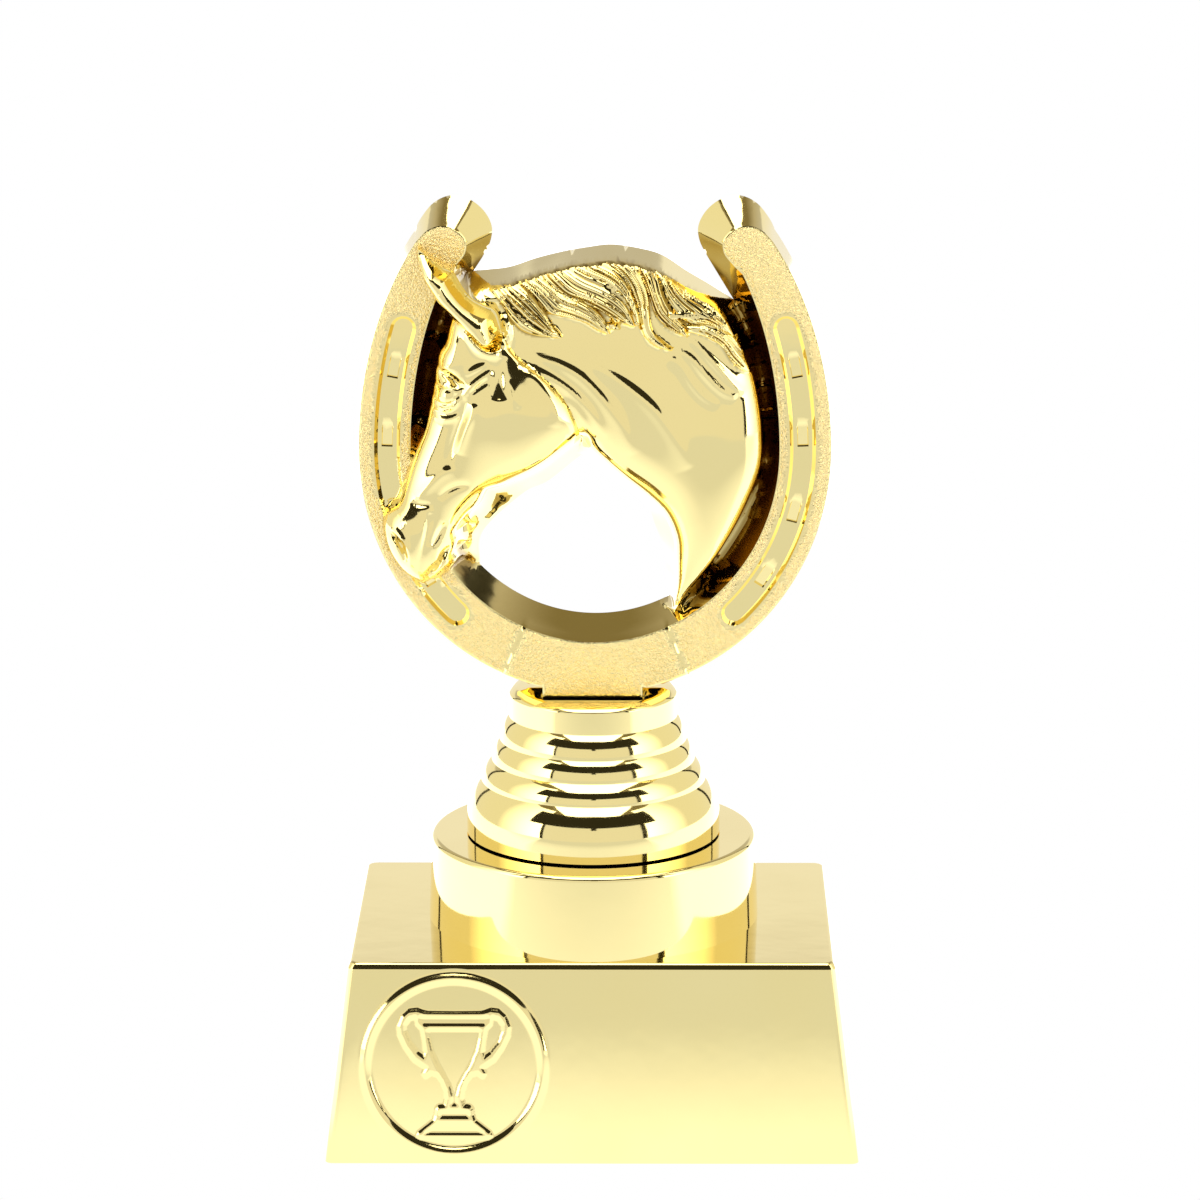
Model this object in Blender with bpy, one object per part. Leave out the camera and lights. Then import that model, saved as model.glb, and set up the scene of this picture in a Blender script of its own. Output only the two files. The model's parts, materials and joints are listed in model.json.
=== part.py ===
"""Horse trophy: a drafted plinth with a round platform, a ringed riser, and a horseshoe with a horse's head.

Metres, +Z up. The origin is at the middle of the underside, the front faces -Y.
The free form of the figure is drawn in millimetres from its own foot and scaled by FIGURE_HEIGHT.
"""
import math

import bmesh
import bpy
import numpy as np
from mathutils import Vector
from mathutils.geometry import delaunay_2d_cdt

MM = 0.001

# plinth
BASE_WIDTH = 0.0790
BASE_DEPTH = 0.0586
BASE_HEIGHT = 0.0298
BASE_DRAFT = math.radians(7.0)
BASE_WALL = 0.0020
BASE_CORNER_RADIUS = 0.0012
BASE_EDGE_ROUND = 0.0006

# round platform moulded on the plinth
PLATFORM_RADIUS = 0.0245
PLATFORM_HEIGHT = 0.0129
PLATFORM_DRAFT = math.radians(2.0)
PLATFORM_ROUND = 0.0008

# cup emblem moulded in the front face
EMBLEM_RADIUS = 0.0140
EMBLEM_LEFT = 0.0203
EMBLEM_UP = 0.0147
EMBLEM_BEAD = 0.0007
EMBLEM_RELIEF = 0.0005
EMBLEM_SINK = 0.0006
CUP_HEIGHT = 0.0187
CUP_WIDTH = 0.0102
CUP_DROP = 0.0014
CUP_BAND = 0.0009

# ringed riser
JOINT_GAP = 0.0003
RISER_HEIGHT = 0.0223
RISER_TOP_RADIUS = 0.0118
RISER_NECK_RADIUS = 0.0127
RISER_NECK_HEIGHT = 0.0043
RISER_CHAMFER = 0.0008
RISER_RING_RADII = (0.0141, 0.0153, 0.0169, 0.0191)
RISER_RING_HEIGHTS = (0.0036, 0.0032, 0.0031)

# figure: the shoe's half thickness and the height that scales all of its free form
FIGURE_HEIGHT = 0.0742
FIGURE_HALF_THICKNESS = 0.0075
FIGURE_WEB = 0.0012

# facets
ROUND_STEPS = 48
FRONT_SPACING = 1.7
BACK_SPACING = 2.5
EDGE_SPACING = 1.9

# The figure's free form below is drawn in millimetres at this height
DRAWN_HEIGHT = 74.2
SHOE_CENTRE = (0.45, 37.4)
SHOE_OUTER_PARTING = (35.5, 38.0, 47.5)
SHOE_OUTER_FACE = (34.75, 36.8, 47.0)
SHOE_INNER_FACE = (27.15, 29.0, 43.5)
SHOE_INNER_PARTING = (24.75, 26.4, 37.5)
HEEL_FACE = ((25.9, 68.7), (24.4, 70.2), (22.4, 70.9), (20.3, 70.3), (18.8, 68.7), (18.9, 66.8), (20.4, 64.9))
HEEL_PARTING = ((26.6, 68.8), (25.6, 70.8), (23.7, 73.1), (21.2, 74.2), (18.6, 73.7), (16.4, 72.0), (15.2, 69.7),
                (15.4, 67.4), (16.6, 65.0))
TOE_HALF_WIDTH = 14.4
TOE_STEP = 0.9
PAD_HALF_WIDTH = 7.4
PAD_BAND = 0.15

# fuller grooves in the shoe's face
FULLER_MIDDLE = (30.6, 33.2, 45.5)
FULLER_HALF_WIDTH = 1.9
FULLER_TOP = 57.6
FULLER_END = 12.8
FULLER_DEPTH = 0.8
FULLER_WALL = 0.5

# the horse, seen from the front: crest and throat at the parting plane, then the edge of the relief
CREST_PARTING = ((-15.0, 63.2), (-12.0, 63.6), (-8.1, 64.9), (-4.5, 65.8), (-0.7, 66.5), (2.9, 66.9), (7.1, 66.3),
                 (10.4, 65.3), (13.9, 63.0), (17.1, 61.1))
THROAT_PARTING = ((-16.4, 23.6), (-10.5, 29.3), (-6.6, 31.3), (-2.2, 34.8), (-1.2, 34.8), (3.7, 31.1), (8.0, 27.6),
                  (9.4, 24.4), (11.0, 20.0), (11.0, 17.4))
BACK_EDGE = ((-16.2, 62.2), (-11.5, 63.3), (-8.5, 64.3), (-4.3, 65.5), (-0.8, 66.1), (3.1, 66.5), (6.8, 65.9),
             (10.2, 64.8), (13.6, 62.7), (16.6, 61.0), (18.6, 59.6), (20.3, 56.9), (21.8, 54.1), (23.2, 50.8),
             (24.4, 46.0), (25.1, 40.7), (24.9, 35.0), (22.4, 28.4), (19.3, 22.8), (15.3, 17.2), (12.1, 12.9))
NECK_EDGE = ((12.5, 17.0), (12.4, 21.2), (12.0, 24.4), (10.5, 27.7), (8.0, 30.2), (4.6, 32.8), (1.8, 35.2),
             (-0.5, 37.5), (-1.5, 39.6))
JAW_EDGE = ((-2.4, 38.4), (-6.1, 35.3), (-9.0, 33.6), (-12.6, 32.2), (-15.4, 31.6))
CHIN_EDGE = ((-16.6, 29.4), (-18.4, 28.0), (-19.9, 26.0), (-19.8, 24.1), (-20.2, 22.6), (-19.9, 21.4), (-20.9, 19.8),
             (-22.6, 18.6), (-24.0, 18.2))
MUZZLE_EDGE = ((-25.0, 17.8), (-27.2, 18.9), (-28.9, 20.8), (-30.2, 23.4), (-30.7, 26.3), (-30.2, 28.5), (-28.5, 30.2))
FACE_EDGE = ((-27.7, 32.3), (-26.6, 35.8), (-25.5, 38.7), (-24.6, 41.1), (-24.0, 43.7), (-23.2, 48.0), (-22.5, 52.2),
             (-21.5, 54.2), (-20.6, 57.2), (-19.0, 60.4))

# the head's edge against the neck, from the poll down to the throat
CHEEK_EDGE = ((-16.4, 61.6), (-14.6, 59.0), (-13.2, 56.0), (-12.0, 53.6), (-10.2, 51.6), (-8.0, 49.9), (-5.8, 47.9),
              (-4.1, 45.7), (-2.8, 43.2), (-2.0, 41.0), (-1.7, 39.4))

# the ear lies in front of everything else: its near and its far edge, each from the tip to the base
EAR_NEAR = ((-25.0, 67.4), (-24.9, 65.6), (-23.3, 62.0), (-20.6, 58.6), (-18.1, 55.8), (-15.7, 53.5), (-13.2, 53.4))
EAR_FAR = ((-25.0, 67.4), (-22.6, 65.9), (-20.0, 64.6), (-18.5, 62.2), (-16.4, 60.4), (-14.1, 59.4), (-12.9, 56.4),
           (-13.2, 53.4))
# heights across the ear, from its near edge (0) to its far edge (1): rim, hollow, rim
EAR_PROFILE = ((0.0, 11.4), (0.2, 13.0), (0.42, 10.6), (0.72, 9.6), (1.0, 11.4))
EAR_TIP_HEIGHT = 9.2

# heights of the relief above the parting plane, and how softly neck and head round over
EDGE_HEIGHT = 8.0
THROAT_HEIGHT = 5.2
NECK_RISE = 3.0
NECK_ROUND = 10.0
HEAD_RISE = 2.3
HEAD_ROUND = 6.5
BACK_FLARE = 1.2
FACE_FLARE = 1.6
THROAT_FLARE = 6.0

# rounded masses: centre, half width, half height, lift
MASSES = (((-11.6, 42.6), 6.2, 7.4, 0.9), ((-26.2, 24.6), 3.6, 5.0, 0.9), ((-20.4, 52.6), 2.2, 4.0, 0.7),
          ((6.0, 40.0), 9.0, 8.0, 0.6), ((17.0, 36.0), 6.0, 10.0, 0.5), ((-21.3, 46.5), 1.2, 1.0, 1.0),
          ((-14.4, 61.2), 1.9, 1.5, 0.8))
EYE = (-21.3, 46.5)
EYE_RING = 1.35

# folds and creases: points, width to the left and to the right of their run, lift in the middle
FOLDS = ((((-9.4, 52.6), (-4.5, 50.9), (-1.6, 49.2), (1.2, 46.4), (3.6, 43.2), (5.9, 37.6)), 1.7, 0.9, 1.4),
         (((-10.6, 51.0), (-5.6, 48.9), (-3.0, 47.0), (-0.6, 44.6), (1.8, 40.2)), 1.2, 0.8, 1.1),
         (((-0.4, 51.2), (5.5, 47.6), (8.9, 44.7), (11.3, 41.6), (14.2, 35.6)), 1.7, 0.9, 1.4),
         (((12.6, 53.2), (14.7, 51.8), (16.7, 49.5), (18.9, 47.2), (21.2, 45.9)), 1.1, 0.8, 1.1),
         (((-13.2, 52.4), (-13.3, 48.0), (-13.2, 46.0)), 1.2, 1.2, -0.9),
         (((-23.0, 50.4), (-20.6, 49.6), (-18.4, 48.6)), 0.9, 0.8, -1.0),
         (((-18.4, 45.2), (-19.1, 41.9), (-21.0, 35.9)), 0.9, 0.8, -0.6),
         (((-17.0, 45.2), (-18.0, 41.4), (-19.4, 38.0)), 0.8, 0.8, 0.8),
         (((-29.4, 26.0), (-28.2, 25.0), (-27.4, 23.4), (-27.3, 21.6)), 0.9, 0.8, -1.2),
         (((-20.8, 23.8), (-22.6, 21.2), (-24.8, 18.4)), 0.8, 0.8, -1.0),
         (((-22.6, 31.1), (-20.4, 32.4), (-17.9, 33.1)), 0.8, 0.8, -0.7))

# locks of the mane: lower edge and upper edge, each from the root to the tip
LOCKS = ((((-16.3, 62.4), (-13.1, 59.8), (-10.0, 55.8), (-4.2, 55.1)),
          ((-15.0, 63.0), (-12.2, 63.3), (-7.5, 59.8), (-4.2, 55.1))),
         (((-12.4, 63.4), (-7.2, 59.8), (-3.9, 58.1), (2.8, 55.6)),
          ((-8.6, 64.3), (-3.9, 61.2), (1.1, 58.9), (2.8, 55.6))),
         (((-8.6, 64.3), (-3.9, 61.1), (1.1, 59.0), (6.5, 56.7)),
          ((-4.4, 65.5), (1.7, 63.3), (5.5, 59.8), (6.5, 56.7))),
         (((-0.6, 66.1), (5.0, 63.4), (7.1, 57.3), (11.9, 53.2)),
          ((5.4, 66.1), (8.3, 61.2), (8.9, 56.4), (11.9, 53.2))),
         (((5.4, 66.1), (8.4, 61.0), (10.8, 56.6), (14.2, 55.2)),
          ((8.4, 65.2), (10.4, 61.2), (13.3, 57.1), (14.2, 55.2))),
         (((8.4, 65.2), (10.6, 61.0), (14.0, 57.0), (21.0, 54.9)),
          ((11.4, 64.0), (15.3, 61.4), (19.5, 58.4), (21.0, 54.9))),
         (((13.8, 55.9), (18.9, 53.6), (22.9, 49.6)),
          ((14.0, 56.9), (20.3, 55.4), (22.9, 49.6))))
LOCK_LIFT = 1.3
LOCK_ROUND = 1.0
LOCK_ROW = 0.3

# rows of facets beside the outlines: inside the horse's edge for its round, outside it for its wall
GUIDE_ROWS = (("horse", (-2.6, -1.1, 1.1)), ("shoe_face", (-0.9,)))
CHEEK_ROWS = (-0.9, 0.9)
SHOE_COARSENESS = 2.0

# finish of the plated plastic, as seen
GOLD = (0.83, 0.69, 0.33, 1.0)
GOLD_ROUGHNESS = 0.12


def clear_scene():
    """Remove what the file holds, so that the part starts from nothing."""
    for item in list(bpy.data.objects):
        bpy.data.objects.remove(item, do_unlink=True)


def gold_material(name):
    """Plated pale gold for one piece."""
    material = bpy.data.materials.new(name)
    material.use_nodes = True
    shader = material.node_tree.nodes["Principled BSDF"]
    shader.inputs["Base Color"].default_value = GOLD
    shader.inputs["Metallic"].default_value = 1.0
    shader.inputs["Roughness"].default_value = GOLD_ROUGHNESS
    return material


def add_object(name, mesh, material=None):
    """Link a mesh as an object of the given name."""
    item = bpy.data.objects.new(name, mesh)
    bpy.context.scene.collection.objects.link(item)
    if material:
        mesh.materials.append(material)
    return item


def shade_round(item, degrees=35.0):
    """Smooth shading with sharp creases where the form has them."""
    item.data.shade_smooth()
    item.data.set_sharp_from_angle(angle=math.radians(degrees))


def loft(rings, name):
    """A closed mesh through rings of equal count, capped at both ends, first ring lowest."""
    bm = bmesh.new()
    loops = [[bm.verts.new(point) for point in ring] for ring in rings]
    for lower, upper in zip(loops, loops[1:]):
        for i in range(len(lower)):
            j = (i + 1) % len(lower)
            bm.faces.new((lower[i], lower[j], upper[j], upper[i]))
    bm.faces.new(list(reversed(loops[0])))
    bm.faces.new(loops[-1])
    bmesh.ops.recalc_face_normals(bm, faces=bm.faces)
    mesh = bpy.data.meshes.new(name)
    bm.to_mesh(mesh)
    bm.free()
    return mesh


def turned(profile, name, steps=ROUND_STEPS):
    """A solid of revolution about Z through (radius, height) points, lowest first."""
    rings = []
    for radius, height in profile:
        ring = []
        for i in range(steps):
            angle = 2.0 * math.pi * i / steps
            ring.append((radius * math.cos(angle), radius * math.sin(angle), height))
        rings.append(ring)
    return loft(rings, name)


def rounded_rectangle(width, depth, radius, height, corner_steps=3):
    """Points of a rectangle with round corners at one height, counter-clockwise."""
    points = []
    for quarter, (sx, sy) in enumerate(((1, 1), (-1, 1), (-1, -1), (1, -1))):
        cx = sx * (width / 2 - radius)
        cy = sy * (depth / 2 - radius)
        for i in range(corner_steps + 1):
            angle = math.radians(90.0 * quarter + 90.0 * i / corner_steps)
            points.append((cx + radius * math.cos(angle), cy + radius * math.sin(angle), height))
    return points


def frustum_rings(width, depth, levels, radius):
    """Rounded rectangles that shrink with the draft; levels are (height, extra inset)."""
    rings = []
    for height, inset in levels:
        shrink = 2.0 * (height * math.tan(BASE_DRAFT) + inset)
        rings.append(rounded_rectangle(width - shrink, depth - shrink, radius, height))
    return rings


def combine(target, cutter, operation):
    """Apply an exact Boolean and remove the second object."""
    modifier = target.modifiers.new("combine", 'BOOLEAN')
    modifier.operation = operation
    modifier.solver = 'EXACT'
    modifier.object = cutter
    graph = bpy.context.evaluated_depsgraph_get()
    mesh = bpy.data.meshes.new_from_object(target.evaluated_get(graph))
    target.modifiers.clear()
    target.data = mesh
    bpy.data.objects.remove(cutter, do_unlink=True)


def platform_profile(inset=0.0, foot=0.0, top_round=PLATFORM_ROUND):
    """The platform's side from its foot up, with a rounded top edge."""
    top = BASE_HEIGHT + PLATFORM_HEIGHT - inset
    radius = PLATFORM_RADIUS - inset
    foot_radius = radius + (top - foot) * math.tan(PLATFORM_DRAFT)
    profile = [(foot_radius, foot)]
    for i in range(4):
        angle = math.radians(30.0 * i)
        profile.append((radius - top_round * (1.0 - math.cos(angle)), top - top_round * (1.0 - math.sin(angle))))
    return profile


def front_face_point(x, up, out):
    """A point beside the drafted front face: x along it, up along its slope, out from it."""
    y = -BASE_DEPTH / 2 + up * math.sin(BASE_DRAFT) - out * math.cos(BASE_DRAFT)
    z = up * math.cos(BASE_DRAFT) + out * math.sin(BASE_DRAFT)
    return (x, y, z)


def emblem_solid(outline, name, low, high):
    """Extrude an outline (x, up from the emblem's middle) off the front face from low to high."""
    rings = []
    for out in (low, high):
        rings.append([front_face_point(-EMBLEM_LEFT + x, EMBLEM_UP + up, out) for x, up in outline])
    return loft(rings, name)


def emblem_ring(name):
    """The bead around the emblem, a ring with a half-round top."""
    steps = ROUND_STEPS
    section = [(-1.0, -1.0), (-1.0, 0.0), (-0.6, 0.75), (0.6, 0.75), (1.0, 0.0), (1.0, -1.0)]
    bm = bmesh.new()
    loops = []
    for i in range(steps):
        angle = 2.0 * math.pi * i / steps
        loop = []
        for across, out in section:
            radius = EMBLEM_RADIUS - EMBLEM_BEAD + across * EMBLEM_BEAD
            height = out * EMBLEM_RELIEF if out > 0 else out * EMBLEM_SINK
            point = front_face_point(-EMBLEM_LEFT + radius * math.cos(angle),
                                     EMBLEM_UP + radius * math.sin(angle), height)
            loop.append(bm.verts.new(point))
        loops.append(loop)
    for a, b in zip(loops, loops[1:] + loops[:1]):
        for i in range(len(section)):
            j = (i + 1) % len(section)
            bm.faces.new((a[i], a[j], b[j], b[i]))
    bmesh.ops.recalc_face_normals(bm, faces=bm.faces)
    mesh = bpy.data.meshes.new(name)
    bm.to_mesh(mesh)
    bm.free()
    return mesh


def cup_point(x, z):
    """A point of the cup, from shares of its half width and half height about its middle."""
    return (x * CUP_WIDTH / 2, z * CUP_HEIGHT / 2 - CUP_DROP)


def cup_outline():
    """A plain prize cup: rim, bowl, stem and stepped foot."""
    shares = ((1.06, -1.0), (1.06, -0.93), (0.57, -0.73), (0.49, -0.52), (0.26, -0.49), (0.22, -0.25), (0.30, -0.08),
              (0.52, 0.12), (0.72, 0.36), (0.82, 0.60), (0.86, 0.78), (1.0, 0.82), (1.0, 1.0))
    right = [cup_point(x, z) for x, z in shares]
    return right + [(-x, z) for x, z in reversed(right)]


def cup_handle(side):
    """One handle of the cup as a bent band."""
    shares = ((0.94, 0.90), (1.18, 0.99), (1.46, 0.90), (1.53, 0.72), (1.38, 0.49), (1.08, 0.27), (0.56, 0.09))
    middle = [cup_point(side * x, z) for x, z in shares]
    outer = []
    inner = []
    for i, (x, z) in enumerate(middle):
        before = middle[max(i - 1, 0)]
        after = middle[min(i + 1, len(middle) - 1)]
        run = math.hypot(after[0] - before[0], after[1] - before[1])
        nx = -(after[1] - before[1]) / run * CUP_BAND / 2
        nz = (after[0] - before[0]) / run * CUP_BAND / 2
        outer.append((x + nx, z + nz))
        inner.append((x - nx, z - nz))
    return outer + list(reversed(inner))


def make_base(material):
    """The hollow plinth with its platform and emblem."""
    top = BASE_HEIGHT
    edge = BASE_EDGE_ROUND
    levels = ((0.0, 0.0), (top - edge, 0.0), (top - 0.3 * edge, 0.3 * edge), (top, edge))
    base = add_object("base", loft(frustum_rings(BASE_WIDTH, BASE_DEPTH, levels, BASE_CORNER_RADIUS), "base"))
    platform = add_object("platform", turned(platform_profile(foot=BASE_HEIGHT / 2), "platform"))
    combine(base, platform, 'UNION')

    # the emblem: a bead, the cup and its two handles
    combine(base, add_object("bead", emblem_ring("bead")), 'UNION')
    cup = emblem_solid(cup_outline(), "cup", -EMBLEM_SINK, EMBLEM_RELIEF)
    combine(base, add_object("cup", cup), 'UNION')
    for side in (-1, 1):
        handle = emblem_solid(cup_handle(side), "handle", -EMBLEM_SINK, EMBLEM_RELIEF)
        combine(base, add_object("handle", handle), 'UNION')

    # the cavity: open below, the same wall all round and under the platform
    below = -BASE_WALL
    levels = ((below, 0.0), (BASE_HEIGHT - BASE_WALL, 0.0))
    inner = frustum_rings(BASE_WIDTH - 2 * BASE_WALL, BASE_DEPTH - 2 * BASE_WALL, levels, BASE_CORNER_RADIUS / 2)
    combine(base, add_object("cavity", loft(inner, "cavity")), 'DIFFERENCE')
    hollow = platform_profile(inset=BASE_WALL, foot=BASE_HEIGHT / 2, top_round=PLATFORM_ROUND / 2)
    combine(base, add_object("hollow", turned(hollow, "hollow")), 'DIFFERENCE')
    base.data.materials.clear()
    base.data.materials.append(material)
    shade_round(base)
    return base


def riser_profile(foot):
    """Radius and height down the riser: chamfered neck, then four swelling rings."""
    neck_foot = foot + RISER_HEIGHT - RISER_NECK_HEIGHT
    profile = [(RISER_TOP_RADIUS, foot + RISER_HEIGHT), (RISER_NECK_RADIUS, foot + RISER_HEIGHT - RISER_CHAMFER),
               (RISER_NECK_RADIUS, neck_foot)]
    upper_radius = RISER_NECK_RADIUS
    upper = neck_foot
    for i, radius in enumerate(RISER_RING_RADII):
        height = RISER_RING_HEIGHTS[i] if i < len(RISER_RING_HEIGHTS) else upper - foot
        shoulder = min(0.65 * height, 0.0030)
        for angle in (30.0, 60.0, 90.0):
            out = math.sin(math.radians(angle))
            down = 1.0 - math.cos(math.radians(angle))
            profile.append((upper_radius + (radius - upper_radius) * out, upper - 0.0002 - shoulder * down))
        profile.append((radius, upper - height))
        upper_radius = radius
        upper -= height
    return list(reversed(profile))


def make_riser(material):
    """The ringed stem, standing on the platform with a fine gap."""
    foot = BASE_HEIGHT + PLATFORM_HEIGHT + JOINT_GAP
    riser = add_object("riser", turned(riser_profile(foot), "riser"), material)
    shade_round(riser)
    return riser


def spline(points, spacing):
    """Points along a smooth curve through the given points, ends included."""
    points = [np.array(p, dtype=float) for p in points]
    ends = [2 * points[0] - points[1]] + points + [2 * points[-1] - points[-2]]
    result = []
    for i in range(1, len(ends) - 2):
        p0, p1, p2, p3 = ends[i - 1:i + 3]
        steps = max(1, int(round(np.linalg.norm(p2 - p1) / spacing)))
        for k in range(steps):
            t = k / steps
            point = 0.5 * (2 * p1 + (p2 - p0) * t + (2 * p0 - 5 * p1 + 4 * p2 - p3) * t * t
                           + (3 * p1 - p0 - 3 * p2 + p3) * t ** 3)
            result.append(tuple(point))
    result.append(tuple(points[-1]))
    return result


def oval_arc(size, start, end, spacing):
    """Points on an oval of unlike lower and upper half, from start to end angle in degrees."""
    half_width, low, up = size
    steps = max(2, int(abs(math.radians(end - start)) * half_width / spacing))
    points = []
    for i in range(steps + 1):
        angle = math.radians(start + (end - start) * i / steps)
        tall = up if math.sin(angle) > 0 else low
        points.append((SHOE_CENTRE[0] + half_width * math.cos(angle), SHOE_CENTRE[1] + tall * math.sin(angle)))
    return points


def angle_at(size, height):
    """Angle in degrees at which an oval's upper half reaches a height."""
    return math.degrees(math.asin(min(1.0, (height - SHOE_CENTRE[1]) / size[2])))


def mirrored(points, side):
    """Heel points on one side of the shoe."""
    return [(SHOE_CENTRE[0] + side * x, z) for x, z in points]


def toe_outline(points):
    """Step the toe piece out below the shoe and cut it flat at the foot."""
    result = []
    for x, z in points:
        if abs(x - SHOE_CENTRE[0]) < TOE_HALF_WIDTH and z < SHOE_CENTRE[1] / 2:
            z -= TOE_STEP
        result.append((x, max(z, 0.0)))
    return result


def pad_outline(points):
    """Bring the face's lower edge down to the flat pad that the figure stands on."""
    low = SHOE_CENTRE[1] - (SHOE_INNER_FACE[1] + SHOE_OUTER_FACE[1]) / 2
    left = [p for p in points if p[1] < low and p[0] < -PAD_HALF_WIDTH - 0.3]
    corner = max(left, key=lambda p: p[0])[1]
    result = []
    for x, z in points:
        if z > low or abs(x) >= PAD_HALF_WIDTH + 0.3:
            result.append((x, z))
        elif abs(x) < PAD_HALF_WIDTH - 0.3:
            result.append((x, PAD_BAND))
    place = next(i for i, p in enumerate(result) if p[1] == PAD_BAND)
    result[place:place] = [(PAD_HALF_WIDTH + 0.02, corner), (PAD_HALF_WIDTH, PAD_BAND)]
    place = max(i for i, p in enumerate(result) if p[1] == PAD_BAND) + 1
    result[place:place] = [(-PAD_HALF_WIDTH, PAD_BAND), (-PAD_HALF_WIDTH - 0.02, corner)]
    return result


def shoe_loop(outer, inner, heel, spacing):
    """The C of the shoe: outer oval, left heel, inner oval, right heel."""
    up_outer = angle_at(outer, heel[0][1])
    up_inner = angle_at(inner, heel[-1][1] - 1.2)
    heel_points = spline(heel, spacing)
    loop = oval_arc(outer, up_outer, -180.0 - up_outer, spacing)[1:-1]
    loop += mirrored(heel_points, -1)
    loop += oval_arc(inner, 180.0 - up_inner, 360.0 + up_inner, spacing)
    loop += list(reversed(mirrored(heel_points, 1)))
    return loop


def figure_loops(spacing):
    """All outlines that the figure's form follows, in drawn millimetres."""
    loops = {}
    up_outer = angle_at(SHOE_OUTER_PARTING, HEEL_PARTING[0][1])
    outer = oval_arc(SHOE_OUTER_PARTING, up_outer, -180.0 - up_outer, spacing)[1:-1]
    heel = spline(HEEL_PARTING, spacing)
    left_join = (SHOE_CENTRE[0] - 17.9, 63.0)
    right_join = (SHOE_CENTRE[0] + 20.4, 58.7)
    crest = spline((left_join,) + CREST_PARTING + (right_join,), spacing)
    silhouette = toe_outline(outer) + mirrored(heel, -1) + crest
    silhouette += list(reversed(mirrored(heel, 1)))
    loops["silhouette"] = silhouette

    # the window: the throat, then the shoe's inner edge
    start = math.degrees(math.asin((THROAT_PARTING[-1][1] - 3.6 - SHOE_CENTRE[1]) / SHOE_INNER_PARTING[1]))
    end = math.degrees(math.asin((18.6 - SHOE_CENTRE[1]) / SHOE_INNER_PARTING[1]))
    bottom = oval_arc(SHOE_INNER_PARTING, start, -180.0 - end, spacing)
    loops["window"] = spline((bottom[-1],) + THROAT_PARTING + (bottom[0],), spacing)[:-1] + bottom[:-1]

    loops["shoe_parting"] = shoe_loop(SHOE_OUTER_PARTING, SHOE_INNER_PARTING, HEEL_PARTING, spacing)
    face = shoe_loop(SHOE_OUTER_FACE, SHOE_INNER_FACE, HEEL_FACE, spacing)
    loops["shoe_face"] = pad_outline(face)
    horse = spline(BACK_EDGE, spacing)[:-1] + spline(BACK_EDGE[-1:] + NECK_EDGE, spacing)[:-1]
    horse += spline(NECK_EDGE[-1:] + JAW_EDGE, spacing)[:-1]
    horse += spline(JAW_EDGE[-1:] + CHIN_EDGE + MUZZLE_EDGE + FACE_EDGE + BACK_EDGE[:1], spacing)[:-1]
    loops["horse"] = horse
    head = spline(CHEEK_EDGE, spacing)[:-1] + spline(CHEEK_EDGE[-1:] + JAW_EDGE, spacing)[:-1]
    head += spline(JAW_EDGE[-1:] + CHIN_EDGE + MUZZLE_EDGE + FACE_EDGE + CHEEK_EDGE[:1], spacing)[:-1]
    loops["head"] = head
    loops["ear"] = spline(EAR_NEAR, spacing)[:-1] + list(reversed(spline(EAR_FAR, spacing)))[:-1]
    for name, side in (("left", -1), ("right", 1)):
        loops["fuller_rim_" + name] = fuller_loop(side, FULLER_HALF_WIDTH, spacing)
        loops["fuller_floor_" + name] = fuller_loop(side, FULLER_HALF_WIDTH - FULLER_WALL, spacing)
    return loops


def distance_to_line(x, z, points, closed=False):
    """Distance to a broken line, the share of its length there, and the side (positive to the left)."""
    points = np.array(points, dtype=float)
    if closed:
        points = np.vstack((points, points[:1]))
    best = np.full(x.shape, 1e9)
    share = np.zeros(x.shape)
    side = np.zeros(x.shape)
    lengths = np.hypot(*(points[1:] - points[:-1]).T)
    total = max(lengths.sum(), 1e-9)
    run = 0.0
    for start, end, length in zip(points, points[1:], lengths):
        if length < 1e-9:
            continue
        dx, dz = end - start
        along = np.clip(((x - start[0]) * dx + (z - start[1]) * dz) / length ** 2, 0.0, 1.0)
        gap = np.hypot(x - start[0] - along * dx, z - start[1] - along * dz)
        nearer = gap < best
        best = np.where(nearer, gap, best)
        share = np.where(nearer, (run + along * length) / total, share)
        side = np.where(nearer, dx * (z - start[1]) - dz * (x - start[0]), side)
        run += length
    return best, share, side


def inside(x, z, loop):
    """True where a point lies within a closed outline."""
    result = np.zeros(x.shape, dtype=bool)
    for (x1, z1), (x2, z2) in zip(loop, loop[1:] + loop[:1]):
        if z1 == z2:
            continue
        crosses = ((z1 > z) != (z2 > z)) & (x < (x2 - x1) * (z - z1) / (z2 - z1) + x1)
        result ^= crosses
    return result


def signed_distance(x, z, loop):
    """Distance to a closed outline, negative within it."""
    gap, _, _ = distance_to_line(x, z, loop, closed=True)
    return np.where(inside(x, z, loop), -gap, gap)


def swell(x, z, loop):
    """A smooth depth inside an outline: the distance near it, rounded over where two edges are alike far.

    It is pi over the sum of the angles under which the edges are seen, each divided by its distance.
    """
    total = np.zeros(x.shape)
    for (x1, z1), (x2, z2) in zip(loop, loop[1:] + loop[:1]):
        length = math.hypot(x2 - x1, z2 - z1)
        if length < 1e-9:
            continue
        dx = (x2 - x1) / length
        dz = (z2 - z1) / length
        low = (x1 - x) * dx + (z1 - z) * dz
        high = low + length
        height = np.maximum(np.abs((x1 - x) * dz - (z1 - z) * dx), 1e-4)
        total += (np.arctan(high / height) - np.arctan(low / height)) / height
    return math.pi / np.maximum(total, 1e-9)


def dome(depth, rounding):
    """A round shoulder from 0 at the edge towards 1 inside."""
    return np.tanh(1.1 * np.sqrt(2.0 * np.maximum(depth, 0.0) / rounding))


def ease(low, high, value):
    """Smooth step from 0 at low to 1 at high."""
    t = np.clip((value - low) / (high - low), 0.0, 1.0)
    return t * t * (3.0 - 2.0 * t)


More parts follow.
